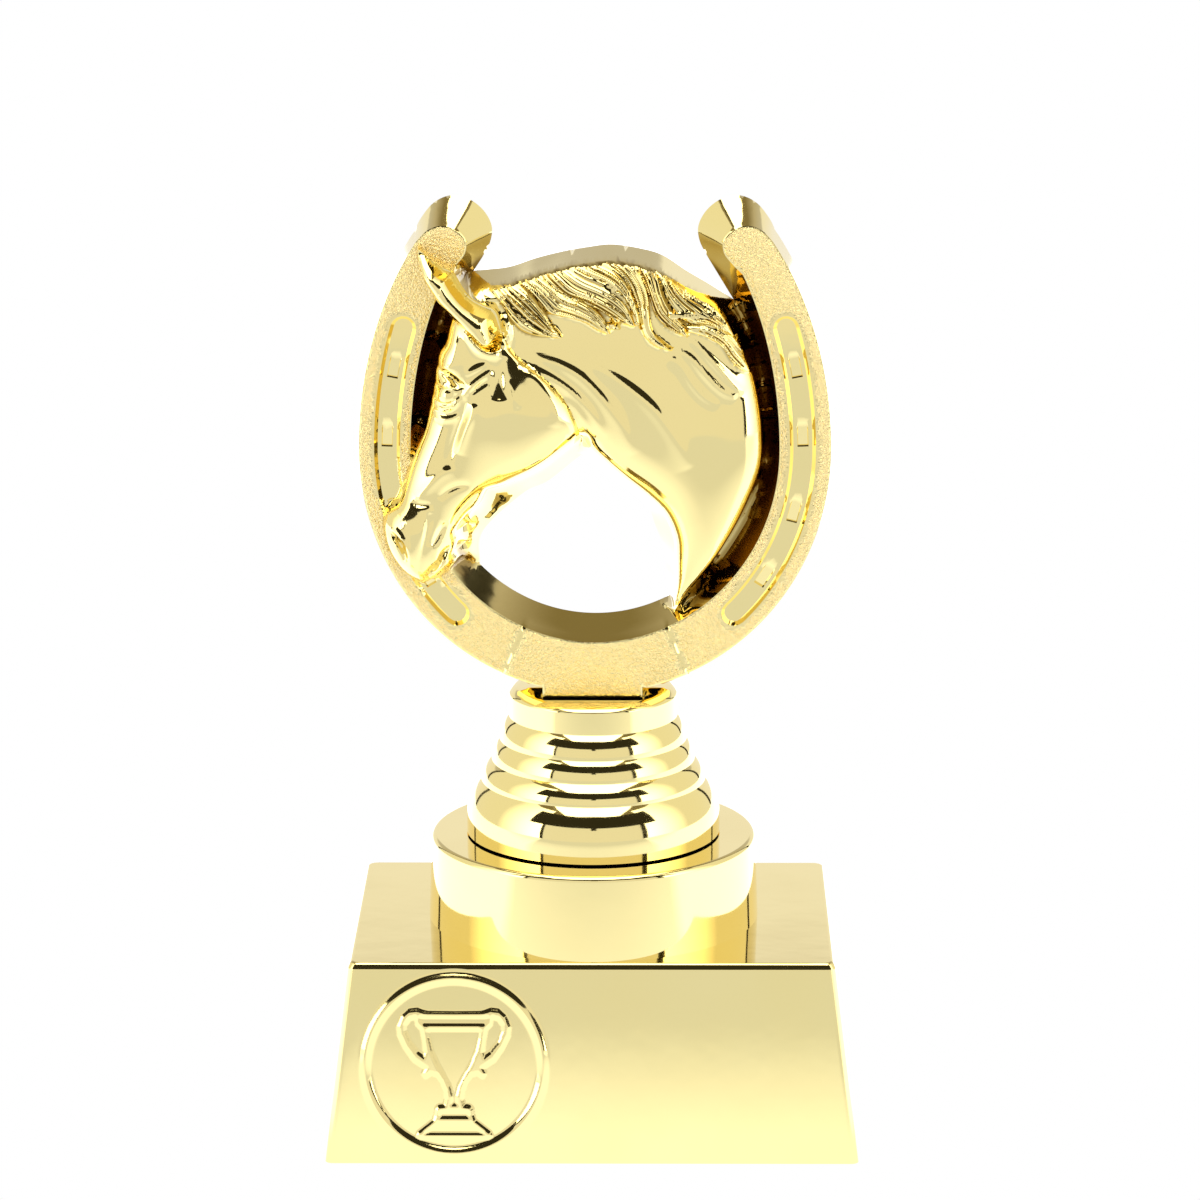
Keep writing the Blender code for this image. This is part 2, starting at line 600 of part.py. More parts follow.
def shoe_height(x, z, loops):
    """Height of the shoe alone: flat face, flared sides, sunk fullers."""
    within = -signed_distance(x, z, loops["shoe_parting"])
    beyond = np.maximum(signed_distance(x, z, loops["shoe_face"]), 0.0)
    within = np.maximum(within, 0.0)
    share = np.where(beyond <= 1e-6, 1.0, within / np.maximum(within + beyond, 1e-9))
    height = FIGURE_HALF_THICKNESS / MM * share
    for side in (-1, 1):
        line = fuller_line(side)
        gap, _, _ = distance_to_line(x, z, line)
        height -= FULLER_DEPTH * (1.0 - ease(FULLER_HALF_WIDTH - FULLER_WALL, FULLER_HALF_WIDTH, gap))
    return height


def fuller_line(side, spacing=2.0):
    """Middle line of one fuller, from its upper end to its lower end."""
    half_width, low, up = FULLER_MIDDLE
    top = math.degrees(math.asin((FULLER_TOP - FULLER_HALF_WIDTH - SHOE_CENTRE[1]) / up))
    bottom = math.degrees(math.asin((FULLER_END - SHOE_CENTRE[1]) / low))
    points = oval_arc(FULLER_MIDDLE, top, bottom, spacing)
    return [(SHOE_CENTRE[0] + side * (x - SHOE_CENTRE[0]), z) for x, z in points]


def directions(line):
    """Unit vectors along a broken line, one for each point."""
    ahead = []
    for i in range(len(line)):
        before = line[max(i - 1, 0)]
        after = line[min(i + 1, len(line) - 1)]
        run = math.hypot(after[0] - before[0], after[1] - before[1])
        ahead.append(((after[0] - before[0]) / run, (after[1] - before[1]) / run))
    return ahead


def fuller_loop(side, reach, spacing):
    """Closed outline at one distance all round a fuller's middle line."""
    line = fuller_line(side, spacing)
    ahead = directions(line)
    loop = [(x - reach * dz, z + reach * dx) for (x, z), (dx, dz) in zip(line, ahead)]
    for turn in (1, 2, 3):
        angle = math.radians(90.0 - 45.0 * turn)
        (x, z), (dx, dz) = line[-1], ahead[-1]
        loop.append((x + reach * (dx * math.cos(angle) - dz * math.sin(angle)),
                     z + reach * (dz * math.cos(angle) + dx * math.sin(angle))))
    loop += [(x + reach * dz, z - reach * dx) for (x, z), (dx, dz) in reversed(list(zip(line, ahead)))]
    for turn in (1, 2, 3):
        angle = math.radians(-90.0 - 45.0 * turn)
        (x, z), (dx, dz) = line[0], ahead[0]
        loop.append((x + reach * (dx * math.cos(angle) - dz * math.sin(angle)),
                     z + reach * (dz * math.cos(angle) + dx * math.sin(angle))))
    return loop


def fold(x, z, points, left, right, lift):
    """One fold or crease of unlike sides, faded towards both ends."""
    away, share, side = distance_to_line(x, z, spline(points, 1.0))
    width = np.where(side > 0, left, right)
    taper = np.sin(np.pi * np.clip(share, 0.0, 1.0)) ** 0.6
    reach = (away / width) ** 2
    return lift * taper / (1.0 + reach) * np.exp(-0.35 * reach)


def lock_loop(lower, upper, spacing):
    """Closed outline of one lock of the mane."""
    return spline(lower, spacing)[:-1] + list(reversed(spline(upper, spacing)))


def mane_height(x, z):
    """Locks that lie over the neck, round at their edges and thinner at the root."""
    lift = np.zeros(x.shape)
    for lower, upper in LOCKS:
        gap = signed_distance(x, z, lock_loop(lower, upper, 1.0))
        _, share, _ = distance_to_line(x, z, spline(lower, 1.0))
        lift = np.maximum(lift, LOCK_LIFT * ease(-LOCK_ROW, LOCK_ROUND, -gap) * (0.6 + 0.4 * share))
    return lift


def horse_height(x, z, loops, depth_to_edge):
    """Height of the horse: neck and head as round forms, with their masses, folds and locks."""
    gap = signed_distance(x, z, loops["horse"])
    to_window = np.maximum(signed_distance(x, z, loops["window"]), 0.0)
    throat = 1.0 - ease(2.0, 8.0, to_window)
    throat *= ease(12.0, 15.0, z) * ease(-20.0, -15.0, x)
    edge = EDGE_HEIGHT + (THROAT_HEIGHT - EDGE_HEIGHT) * throat
    body = np.where(gap < 0, dome(swell(x, z, loops["horse"]), NECK_ROUND), 0.0)
    height = edge + (EDGE_HEIGHT + NECK_RISE - edge) * body
    head = dome(swell(x, z, loops["head"]), HEAD_ROUND)
    height += np.where(inside(x, z, loops["head"]), HEAD_RISE * head, 0.0)
    soft = ease(0.0, 1.6, -gap)
    for (cx, cz), half_width, half_height, lift in MASSES:
        reach = ((x - cx) / half_width) ** 2 + ((z - cz) / half_height) ** 2
        height += soft * lift * np.exp(-reach ** 1.5)
    for points, left, right, lift in FOLDS:
        height += soft * fold(x, z, points, left, right, lift)
    height += soft * mane_height(x, z)
    flare = np.where(x < -12.0, FACE_FLARE, BACK_FLARE)
    flare = flare + (THROAT_FLARE - flare) * throat
    flare = np.minimum(flare, np.maximum(gap, 0.0) + depth_to_edge)
    wall = 1.0 - np.maximum(gap, 0.0) / np.maximum(flare, 1e-6)
    return np.where(gap <= 0, height, edge * np.clip(wall, 0.0, 1.0))


def with_ear(x, z, loops, height):
    """Set the ear into the head: a leaf with a round near rim, a hollow and a thin far rim."""
    gap = signed_distance(x, z, loops["ear"])
    near, _, _ = distance_to_line(x, z, spline(EAR_NEAR, 0.8))
    far, _, _ = distance_to_line(x, z, spline(EAR_FAR, 0.8))
    across = near / np.maximum(near + far, 1e-6)
    stations = [place for place, _ in EAR_PROFILE]
    levels = [level for _, level in EAR_PROFILE]
    full = ease(0.5, 3.5, near + far)
    ear = EAR_TIP_HEIGHT + (np.interp(across, stations, levels) - EAR_TIP_HEIGHT) * full
    rim = EAR_TIP_HEIGHT + (levels[0] - EAR_TIP_HEIGHT) * full
    wall = np.maximum(height, rim * np.clip(1.0 - gap / 0.5, 0.0, 1.0))
    return np.where(gap < -0.05, ear, wall)


def figure_height(x, z, loops):
    """Height of the whole front above the parting plane, in drawn millimetres."""
    depth = np.minimum(-signed_distance(x, z, loops["silhouette"]), signed_distance(x, z, loops["window"]))
    depth = np.maximum(depth, 0.0)
    height = np.maximum(shoe_height(x, z, loops), horse_height(x, z, loops, depth))
    height = with_ear(x, z, loops, height)
    web = np.minimum(FIGURE_WEB / MM, 1.5 * depth)
    height = np.maximum(height, web)
    return np.where(depth < 1e-6, 0.0, height)


def offset_row(loop, offset):
    """Points beside a closed outline, outward for a positive offset, where the row doesn't fold."""
    points = np.array(loop, dtype=float)
    ahead = np.roll(points, -1, axis=0) - np.roll(points, 1, axis=0)
    normal = np.stack((ahead[:, 1], -ahead[:, 0]), axis=1) / np.maximum(np.hypot(*ahead.T), 1e-9)[:, None]
    area = np.sum(points[:, 0] * np.roll(points[:, 1], -1) - np.roll(points[:, 0], -1) * points[:, 1])
    row = points + normal * offset * (1.0 if area > 0 else -1.0)
    gap = signed_distance(row[:, 0], row[:, 1], loop) * (1.0 if offset > 0 else -1.0)
    return [tuple(p) for p, d in zip(row, gap) if d > 0.9 * abs(offset)]


def resampled(line, count):
    """Points at equal steps along a broken line."""
    line = np.array(line)
    run = np.concatenate(([0.0], np.cumsum(np.hypot(*(line[1:] - line[:-1]).T))))
    places = np.linspace(0.0, run[-1], count)
    return np.stack((np.interp(places, run, line[:, 0]), np.interp(places, run, line[:, 1])), axis=1)


def ear_rows(spacing):
    """Points along the ear where its profile turns, from the tip to the base."""
    near = spline(EAR_NEAR, 0.5)
    count = int(len(near) * 0.5 / spacing) + 2
    near = resampled(near, count)
    far = resampled(spline(EAR_FAR, 0.5), count)
    rows = []
    for across, _ in EAR_PROFILE[1:-1]:
        line = near + (far - near) * across
        rows += [tuple(p) for p, a, b in zip(line, near, far) if np.hypot(*(b - a)) > spacing]
    return rows


def guide_points(loops, spacing):
    """Rows of points along the walls, folds and locks, so that the facets follow them."""
    rows = []
    for name, offsets in GUIDE_ROWS:
        for offset in offsets:
            rows += offset_row(loops[name], offset)
    lines = [(CHEEK_EDGE, CHEEK_ROWS)]
    lines += [(points, (0.0, 1.1 * left, -1.1 * right)) for points, left, right, _ in FOLDS]
    for points, offsets in lines:
        line = spline(points, spacing)
        for across in offsets:
            rows += [(x - across * dz, z + across * dx) for (x, z), (dx, dz) in zip(line, directions(line))]
    for lower, upper in LOCKS:
        for offset in (-LOCK_ROUND, LOCK_ROW):
            rows += offset_row(lock_loop(lower, upper, spacing), offset)
    x = np.array([p[0] for p in rows])
    z = np.array([p[1] for p in rows])
    keep = inside(x, z, loops["silhouette"]) & ~inside(x, z, loops["window"]) & ~inside(x, z, loops["ear"])
    for loop in loops.values():
        gap, _, _ = distance_to_line(x, z, loop, closed=True)
        keep &= gap > 0.22
    chosen = ear_rows(spacing) + [EYE]
    for turn in range(8):
        angle = math.radians(45.0 * turn)
        chosen.append((EYE[0] + EYE_RING * math.cos(angle), EYE[1] + EYE_RING * math.sin(angle)))
    for point in (row for row, kept in zip(rows, keep) if kept):
        if all((point[0] - q[0]) ** 2 + (point[1] - q[1]) ** 2 > (0.42 * spacing) ** 2 for q in chosen):
            chosen.append(point)
    return chosen


def grid_points(spacing, loops, on_horse, taken):
    """Interior points on a staggered grid that keep clear of every outline and of the guide rows."""
    clearance = 0.5 * spacing
    reach_x = SHOE_OUTER_PARTING[0] + 1.0
    rows = int(DRAWN_HEIGHT / (0.866 * spacing)) + 1
    columns = int(2 * reach_x / spacing) + 2
    row, column = np.meshgrid(np.arange(rows), np.arange(columns), indexing="ij")
    x = -reach_x + spacing * (column + 0.5 * (row % 2))
    z = 0.866 * spacing * row
    x = x.ravel()
    z = z.ravel()
    keep = inside(x, z, loops["silhouette"]) & ~inside(x, z, loops["window"])
    keep &= (inside(x, z, loops["horse"]) == on_horse) & ~inside(x, z, loops["ear"])
    for loop in loops.values():
        gap, _, _ = distance_to_line(x, z, loop, closed=True)
        keep &= gap > clearance
    x = x[keep]
    z = z[keep]
    if taken:
        others = np.array(taken)
        nearest = np.array([np.min(np.hypot(others[:, 0] - a, others[:, 1] - b)) for a, b in zip(x, z)])
        x = x[nearest > clearance]
        z = z[nearest > clearance]
    return list(zip(x, z))


def triangulate(loops, names, spacing):
    """Triangles over the figure's outline that follow the named inner outlines."""
    points = []
    edges = []
    for name in ("silhouette", "window") + names:
        start = len(points)
        loop = loops[name]
        points += loop
        edges += [(start + i, start + (i + 1) % len(loop)) for i in range(len(loop))]
    start = len(points)
    points += spline(CHEEK_EDGE, spacing)[1:-1]
    edges += [(i, i + 1) for i in range(start, len(points) - 1)]
    followed = {n: loops[n] for n in ("silhouette", "window") + names}
    guides = guide_points(followed, spacing)
    points += guides
    points += grid_points(spacing, followed, True, guides)
    points += grid_points(SHOE_COARSENESS * spacing, followed, False, guides)
    result = delaunay_2d_cdt([Vector(p) for p in points], edges, [], 0, 1e-4)
    coordinates = np.array([tuple(v) for v in result[0]])
    corners = np.array([list(face) for face in result[2]])
    middle = coordinates[corners].mean(axis=1)
    keep = inside(middle[:, 0], middle[:, 1], loops["silhouette"])
    keep &= ~inside(middle[:, 0], middle[:, 1], loops["window"])
    return coordinates, corners[keep]


def make_figure(material):
    """The horseshoe and horse's head as one closed moulding, plainer at the back."""
    scale = FIGURE_HEIGHT / DRAWN_HEIGHT
    foot = BASE_HEIGHT + PLATFORM_HEIGHT + JOINT_GAP + RISER_HEIGHT + JOINT_GAP
    loops = figure_loops(EDGE_SPACING)
    bm = bmesh.new()
    shared = {}
    fullers = tuple(name for name in loops if name.startswith("fuller"))
    names = ("shoe_face", "horse", "ear") + fullers
    for side, spacing in ((-1, FRONT_SPACING), (1, BACK_SPACING)):
        coordinates, corners = triangulate(loops, names, spacing)
        heights = figure_height(coordinates[:, 0], coordinates[:, 1], loops)
        verts = {}
        for index in sorted(set(corners.ravel().tolist())):
            x, z = coordinates[index]
            if z < PAD_BAND + 1e-4:
                z = 0.0
            key = (round(x, 4), round(z, 4))
            if heights[index] == 0.0 and key in shared:
                verts[index] = shared[key]
                continue
            vert = bm.verts.new((x * scale, side * heights[index] * scale, foot + z * scale))
            verts[index] = vert
            if heights[index] == 0.0:
                shared[key] = vert
        for a, b, c in corners:
            bm.faces.new((verts[a], verts[b], verts[c]))
    bmesh.ops.recalc_face_normals(bm, faces=bm.faces)
    mesh = bpy.data.meshes.new("figure")
    bm.to_mesh(mesh)
    bm.free()
    figure = add_object("figure", mesh, material)
    shade_round(figure, 50.0)
    return figure


def main():
    clear_scene()
    make_base(gold_material("plated_gold_base"))
    make_riser(gold_material("plated_gold_riser"))
    make_figure(gold_material("plated_gold_figure"))


main()
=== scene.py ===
"""The looks of the horse trophy: pale plated gold, a grained horseshoe, a horse's head and a cup emblem.

Millimetres in the drawn forms, metres in the scene. The front faces -Y, as in the frame.
"""
import json
import math

import bmesh
import bpy
import numpy as np
from mathutils import Matrix, Vector
from mathutils.geometry import delaunay_2d_cdt

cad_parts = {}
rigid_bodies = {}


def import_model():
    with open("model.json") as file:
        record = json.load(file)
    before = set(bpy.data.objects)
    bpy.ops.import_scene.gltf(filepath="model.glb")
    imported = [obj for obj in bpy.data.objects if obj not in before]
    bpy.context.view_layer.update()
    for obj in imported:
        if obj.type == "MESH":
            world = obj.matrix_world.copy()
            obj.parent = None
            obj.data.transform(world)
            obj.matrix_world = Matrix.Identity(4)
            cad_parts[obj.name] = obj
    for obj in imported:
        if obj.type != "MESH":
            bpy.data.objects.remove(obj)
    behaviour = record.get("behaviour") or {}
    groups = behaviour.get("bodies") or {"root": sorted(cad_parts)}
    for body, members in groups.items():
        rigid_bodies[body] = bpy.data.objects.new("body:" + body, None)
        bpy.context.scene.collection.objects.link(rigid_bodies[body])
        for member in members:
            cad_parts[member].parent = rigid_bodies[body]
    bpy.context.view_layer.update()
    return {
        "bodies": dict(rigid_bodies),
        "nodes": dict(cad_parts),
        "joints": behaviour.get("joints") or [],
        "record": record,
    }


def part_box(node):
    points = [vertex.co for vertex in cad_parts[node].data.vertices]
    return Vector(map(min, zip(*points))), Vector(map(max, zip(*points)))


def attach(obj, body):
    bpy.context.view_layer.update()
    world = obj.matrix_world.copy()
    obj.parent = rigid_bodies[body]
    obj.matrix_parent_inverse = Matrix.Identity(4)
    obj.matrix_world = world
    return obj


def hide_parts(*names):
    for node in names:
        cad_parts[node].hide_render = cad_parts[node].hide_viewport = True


MM = 0.001

# camera, from the photograph's perspective
FOCAL_PIXELS = 4955.0
FRAME_PIXELS = 1200.0
SENSOR = 36.0
CAMERA_DISTANCE = 0.742
CAMERA_PITCH = math.radians(14.03)
CAMERA_YAW = math.radians(-0.62)
CAMERA_ROLL = math.radians(0.12)
AIM_RIGHT = 0.00107
AIM_UP = 0.07857

# plinth and platform: what the frame's boxes don't say
BASE_DRAFT = math.radians(7.0)
BASE_WALL = 2.0
BASE_CORNER_RADIUS = 1.2
BASE_EDGE_ROUND = 0.5
BASE_BEVEL = math.radians(25.0)
BASE_BEVEL_HEIGHT = 0.6
PLATFORM_RADIUS = 24.5
PLATFORM_HEIGHT = 12.9
PLATFORM_DRAFT = math.radians(2.0)
PLATFORM_ROUND = 0.8

# emblem on the plinth's front face
EMBLEM_RADIUS = 14.0
EMBLEM_LEFT = 20.3
EMBLEM_UP = 14.7
EMBLEM_SPACING = 0.15
EMBLEM_MARGIN = 0.6
BEAD_HALF_WIDTH = 0.85
BEAD_HEIGHT = 0.44
BEAD_ROUND = 0.14
BEAD_FOOT = 0.12
BEAD_FADE = (0.1, 0.55)
DISC_SUNK = 0.05
DISC_EDGE = (-1.1, -0.6)

# the cup: the right half of each outline from its lower to its upper middle, about the emblem's middle
CUP_OUTER = ((0.0, -10.85), (5.0, -10.85), (5.5, -10.55), (5.3, -10.1), (3.0, -8.3), (2.75, -7.5), (2.6, -6.5),
             (2.3, -6.15), (1.4, -6.0), (1.2, -5.0), (1.25, -3.7), (1.75, -2.3), (2.5, -1.3), (3.5, -1.1),
             (4.2, -1.6), (4.5, -1.2), (4.1, -0.3), (5.9, 0.9), (7.2, 2.8), (8.05, 4.6), (8.2, 5.9), (7.6, 7.4),
             (6.6, 8.3), (5.4, 8.45), (4.5, 8.1), (3.9, 7.95), (0.0, 7.9))
CUP_BOWL = ((0.0, -5.8), (0.3, -5.8), (0.35, -4.6), (0.75, -3.0), (1.5, -1.6), (2.5, 0.2), (3.35, 2.2),
            (3.8, 4.2), (3.9, 5.2), (3.6, 5.5), (0.0, 5.5))
CUP_RIM = ((0.0, 6.15), (4.5, 6.15), (4.95, 6.6), (5.1, 7.2), (4.8, 7.45), (0.0, 7.45))
CUP_PLATE = ((0.0, -7.75), (2.1, -7.75), (2.15, -7.4), (2.0, -6.85), (0.0, -6.85))
CUP_FOOT = ((0.0, -10.3), (4.3, -10.3), (4.3, -10.0), (2.6, -8.65), (0.0, -8.65))
CUP_HANDLE_HOLE = ((5.7, 7.35), (6.6, 7.1), (7.2, 6.2), (7.2, 5.2), (6.6, 3.5), (5.4, 2.0), (4.5, 1.3),
                   (4.25, 2.0), (4.45, 4.0), (4.75, 5.6), (5.4, 6.3), (5.5, 6.9))
CUP_LIFT = 0.34
CUP_EDGE = 0.32
CUP_SUNK = 0.32

# riser
RISER_TOP_RADIUS = 11.8
RISER_NECK_RADIUS = 12.7
RISER_NECK_HEIGHT = 4.3
RISER_CHAMFER = 0.8
RISER_RING_RADII = (14.1, 15.3, 16.9, 19.1)
RISER_RING_HEIGHTS = (3.6, 3.2, 3.1)
RING_SWEEP = math.radians(50.0)
RING_LAST_SWELL = 0.7
ROUND_STEPS = 160

# figure, drawn at this height
DRAWN_HEIGHT = 74.2
HALF_THICKNESS = 7.5
WEB = 1.2
SHOE_CENTRE = (0.45, 37.4)
SHOE_OUTER_PARTING = (35.5, 38.0, 47.5)
SHOE_OUTER_FACE = (34.75, 36.8, 47.0)
SHOE_INNER_FACE = (27.15, 29.0, 43.5)
SHOE_INNER_PARTING = (24.75, 26.4, 37.5)
HEEL_FACE = ((25.9, 68.7), (24.4, 70.2), (22.4, 70.9), (20.3, 70.3), (18.8, 68.7), (18.9, 66.8), (20.4, 64.9))
HEEL_PARTING = ((26.6, 68.8), (25.6, 70.8), (23.7, 73.1), (21.2, 74.2), (18.6, 73.7), (16.4, 72.0),
                (15.2, 69.7), (15.4, 67.4), (16.6, 65.0))
TOE_HALF_WIDTH = 14.4
TOE_STEP = 0.9
PAD_HALF_WIDTH = 7.4
PAD_BAND = 0.15
FULLER_MIDDLE = (30.6, 33.2, 45.5)
FULLER_HALF_WIDTH = 1.9
FULLER_TOP = 57.6
FULLER_END = 12.8
FULLER_DEPTH = 0.8
FULLER_WALL = 0.5
FULLER_TURNS = 7
EDGE_BREAK = 0.14
EDGE_BREAK_WIDTH = 0.4

# where the crest's wall meets the heels and where the window meets the shoe
LEFT_JOIN = (-17.9, 63.0)
RIGHT_JOIN = (20.4, 58.7)
WINDOW_RIGHT_DROP = 3.6
WINDOW_LEFT_HEIGHT = 18.6

# parting lines and the horse's edges
CREST_PARTING = ((-15.0, 63.2), (-12.0, 63.6), (-8.1, 64.9), (-4.5, 65.8), (-0.7, 66.5), (2.9, 66.9),
                 (7.1, 66.3), (10.4, 65.3), (13.9, 63.0), (17.1, 61.1))
THROAT_PARTING = ((-16.4, 23.6), (-10.5, 29.3), (-6.6, 31.3), (-2.2, 34.8), (-1.2, 34.8), (3.7, 31.1),
                  (8.0, 27.6), (9.4, 24.4), (11.0, 20.0), (11.0, 17.4))
BACK_EDGE = ((-16.2, 61.9), (-11.5, 62.8), (-8.5, 63.8), (-4.3, 65.0), (-0.8, 65.6), (3.1, 66.0), (6.8, 65.4),
             (10.2, 64.3), (13.6, 62.2), (16.6, 60.6), (18.5, 59.3), (20.3, 56.9), (21.8, 54.1), (23.2, 50.8),
             (24.4, 46.0), (25.1, 40.7), (24.9, 35.0), (22.4, 28.4), (19.3, 22.8), (15.3, 17.2), (12.1, 12.9))
NECK_EDGE = ((12.5, 17.0), (12.4, 21.2), (12.0, 24.4), (10.5, 27.7), (8.0, 30.2), (4.6, 32.8), (1.8, 35.2),
             (-0.5, 37.5), (-1.5, 39.6))
JAW_EDGE = ((-2.4, 38.4), (-6.1, 35.3), (-9.0, 33.6), (-12.6, 32.2), (-15.4, 31.6))
CHIN_EDGE = ((-16.6, 29.4), (-18.4, 28.0), (-19.9, 26.0), (-19.8, 24.1), (-20.2, 22.6), (-19.9, 21.4),
             (-20.9, 19.8), (-22.6, 18.6), (-24.0, 18.2))
MUZZLE_EDGE = ((-25.0, 17.8), (-27.2, 18.9), (-28.9, 20.8), (-30.2, 23.4), (-30.7, 26.3), (-30.2, 28.5),
               (-28.5, 30.2))
FACE_EDGE = ((-27.7, 32.3), (-26.6, 35.8), (-25.5, 38.7), (-24.6, 41.1), (-24.0, 43.7), (-23.2, 48.0),
             (-22.5, 52.2), (-21.5, 54.2), (-20.6, 57.2), (-19.0, 60.4))

# the head's edge against the neck, from the poll down to the throat
CHEEK_EDGE = ((-16.4, 61.6), (-14.6, 59.0), (-13.2, 56.0), (-12.0, 53.6), (-10.2, 51.6), (-8.0, 49.9),
              (-5.8, 47.9), (-4.1, 45.7), (-2.8, 43.2), (-2.0, 41.0), (-1.7, 39.4))

# ear: its near edge and its far edge, each from the tip to the base
EAR_NEAR = ((-25.2, 67.8), (-25.0, 65.8), (-24.3, 63.8), (-23.3, 62.0), (-22.2, 60.3), (-20.6, 58.6),
            (-19.2, 57.1), (-18.1, 55.8), (-16.9, 54.5), (-15.7, 53.5), (-14.4, 53.1), (-13.2, 53.4))
EAR_FAR = ((-25.2, 67.8), (-23.2, 66.4), (-21.3, 65.4), (-20.0, 64.9), (-18.5, 62.4), (-17.2, 60.9),
           (-15.5, 60.0), (-14.1, 59.5), (-13.3, 58.4), (-13.0, 56.8), (-12.9, 55.2), (-13.2, 53.4))
EAR_PROFILE = ((0.0, 11.4), (0.05, 12.0), (0.12, 12.4), (0.24, 12.6), (0.36, 12.4), (0.46, 12.0), (0.58, 11.35),
               (0.70, 10.65), (0.82, 10.0), (0.90, 9.8), (0.96, 10.2), (1.0, 10.6))
EAR_TIP_HEIGHT = 9.2
EAR_STATIONS = 60
EAR_ROWS = 24

# heights of the relief above the parting plane
EDGE_HEIGHT = 8.0
THROAT_HEIGHT = 5.2
NECK_RISE = 3.0
NECK_ROUND = 10.0
HEAD_RISE = 2.3
HEAD_ROUND = 6.5
BACK_FLARE = 1.2
FACE_FLARE = 1.6
THROAT_FLARE = 6.0
VALLEY_REACH = 0.7
BACK_DROP = 1.4

# where those heights fade in: from and to, in drawn millimetres
THROAT_BESIDE_WINDOW = (2.0, 8.0)
ABOVE_TOE = (12.0, 15.0)
RIGHT_OF_CHIN = (-20.0, -15.0)
BACK_FROM = (12.0, 22.0)
BACK_UP_TO = (50.0, 58.0)

# rounded masses: centre, half width, half height, lift
MASSES = (((-11.6, 42.6), 6.2, 7.4, 0.9), ((-26.2, 24.6), 3.6, 5.0, 0.9), ((-20.4, 52.6), 2.2, 4.0, 0.7),
          ((6.0, 40.0), 9.0, 8.0, 0.6), ((17.0, 36.0), 6.0, 10.0, 0.5), ((-21.8, 21.0), 1.5, 1.6, 0.4),
          ((-14.4, 61.2), 1.9, 1.5, 0.8))

# folds and creases: points, width to the left and to the right of their run, lift in the middle
FOLDS = (
    (((-9.4, 52.6), (-7.2, 51.9), (-4.5, 50.9), (-1.6, 49.2), (1.2, 46.4), (3.6, 43.2), (5.0, 40.6), (5.9, 37.6)),
     0.75, 1.5, 0.5),
    (((-10.6, 51.0), (-8.1, 50.2), (-5.6, 48.9), (-3.0, 47.0), (-0.6, 44.6), (0.8, 42.5), (1.8, 40.2)),
     0.65, 1.1, 0.5),
    (((-3.8, 46.0), (-2.0, 44.2), (-0.6, 41.8), (0.2, 39.4)), 0.6, 0.8, 0.3),
    (((-0.4, 51.2), (2.0, 50.0), (5.5, 47.6), (8.9, 44.7), (11.3, 41.6), (13.0, 38.6), (14.2, 35.6)), 0.8, 1.6, 0.45),
    (((11.2, 52.2), (13.1, 50.8), (14.7, 48.3), (16.4, 46.3), (18.6, 44.8)), 0.6, 0.9, 0.4),
    (((12.6, 53.2), (14.7, 51.8), (16.7, 49.5), (18.9, 47.2), (21.2, 45.9)), 0.6, 1.0, 0.5),
    (((14.2, 55.2), (16.6, 52.6), (18.9, 50.0), (20.8, 47.8), (22.4, 46.6)), 0.6, 0.9, 0.45),
    (((-9.6, 50.6), (-7.6, 48.9), (-6.4, 46.9), (-5.5, 45.4), (-5.1, 43.8), (-5.3, 42.0)), 0.9, 0.9, 0.3),
    (((-11.4, 49.0), (-11.2, 47.1), (-10.6, 45.0)), 0.5, 0.4, 0.25),
    (((-13.4, 52.4), (-13.5, 50.0), (-13.4, 48.0), (-13.4, 46.2)), 1.1, 1.1, -0.65),
    (((-18.8, 46.4), (-17.5, 47.9), (-16.0, 49.3), (-14.5, 50.4)), 0.6, 0.5, 0.4),
    (((-18.4, 49.7), (-16.8, 50.6), (-15.0, 51.6)), 0.5, 0.5, 0.35),
    (((-17.6, 46.9), (-16.4, 48.1), (-15.0, 49.1)), 0.4, 0.4, -0.35),
    (((-18.6, 46.2), (-18.8, 44.1), (-19.5, 41.9), (-20.4, 39.2), (-21.2, 35.7)), 0.7, 0.6, -0.5),
    (((-17.0, 45.6), (-17.5, 43.6), (-18.4, 41.4), (-19.4, 38.0)), 0.7, 0.6, 0.6),
    (((-20.0, 35.7), (-22.1, 34.8), (-23.9, 33.0), (-25.6, 31.1)), 1.0, 0.8, 0.35),
    (((-22.4, 31.2), (-21.1, 32.4), (-19.6, 33.1), (-17.7, 33.2)), 0.45, 0.6, -0.4),
    (((-26.4, 30.5), (-25.2, 30.3), (-23.5, 30.3)), 0.35, 0.35, -0.35),
    (((-23.8, 29.2), (-24.1, 26.6), (-24.6, 24.4), (-25.1, 22.2), (-25.2, 20.4)), 0.7, 0.5, -0.5),
    (((-21.4, 27.6), (-22.5, 25.7), (-23.5, 24.0)), 0.5, 0.5, -0.5),
    (((-20.8, 23.8), (-21.9, 22.6), (-22.6, 21.2), (-23.7, 19.8), (-25.0, 18.0)), 0.4, 0.5, -0.9),
    (((-30.4, 27.2), (-29.4, 26.6), (-28.2, 25.6), (-27.3, 24.2), (-26.8, 22.6), (-26.7, 21.3), (-27.3, 20.7)),
     0.5, 0.35, 0.55),
    (((-29.9, 26.2), (-28.9, 25.2), (-28.0, 24.0), (-27.5, 22.6), (-27.4, 21.6)), 0.5, 0.5, -1.2),
    (((-15.6, 32.6), (-17.2, 31.6), (-18.8, 30.0), (-20.0, 28.2), (-20.8, 26.0)), 0.8, 0.5, -0.55),
    (((-3.4, 40.4), (-6.4, 37.6), (-9.8, 35.7), (-13.4, 34.4)), 1.1, 0.7, 0.4),
    (((-18.7, 57.0), (-17.8, 55.3), (-16.4, 53.7), (-15.0, 52.9), (-13.4, 52.9)), 0.55, 0.75, 0.8),
    (((-12.8, 58.4), (-12.2, 56.6), (-12.1, 55.0), (-12.4, 53.6)), 0.6, 0.6, 0.8))

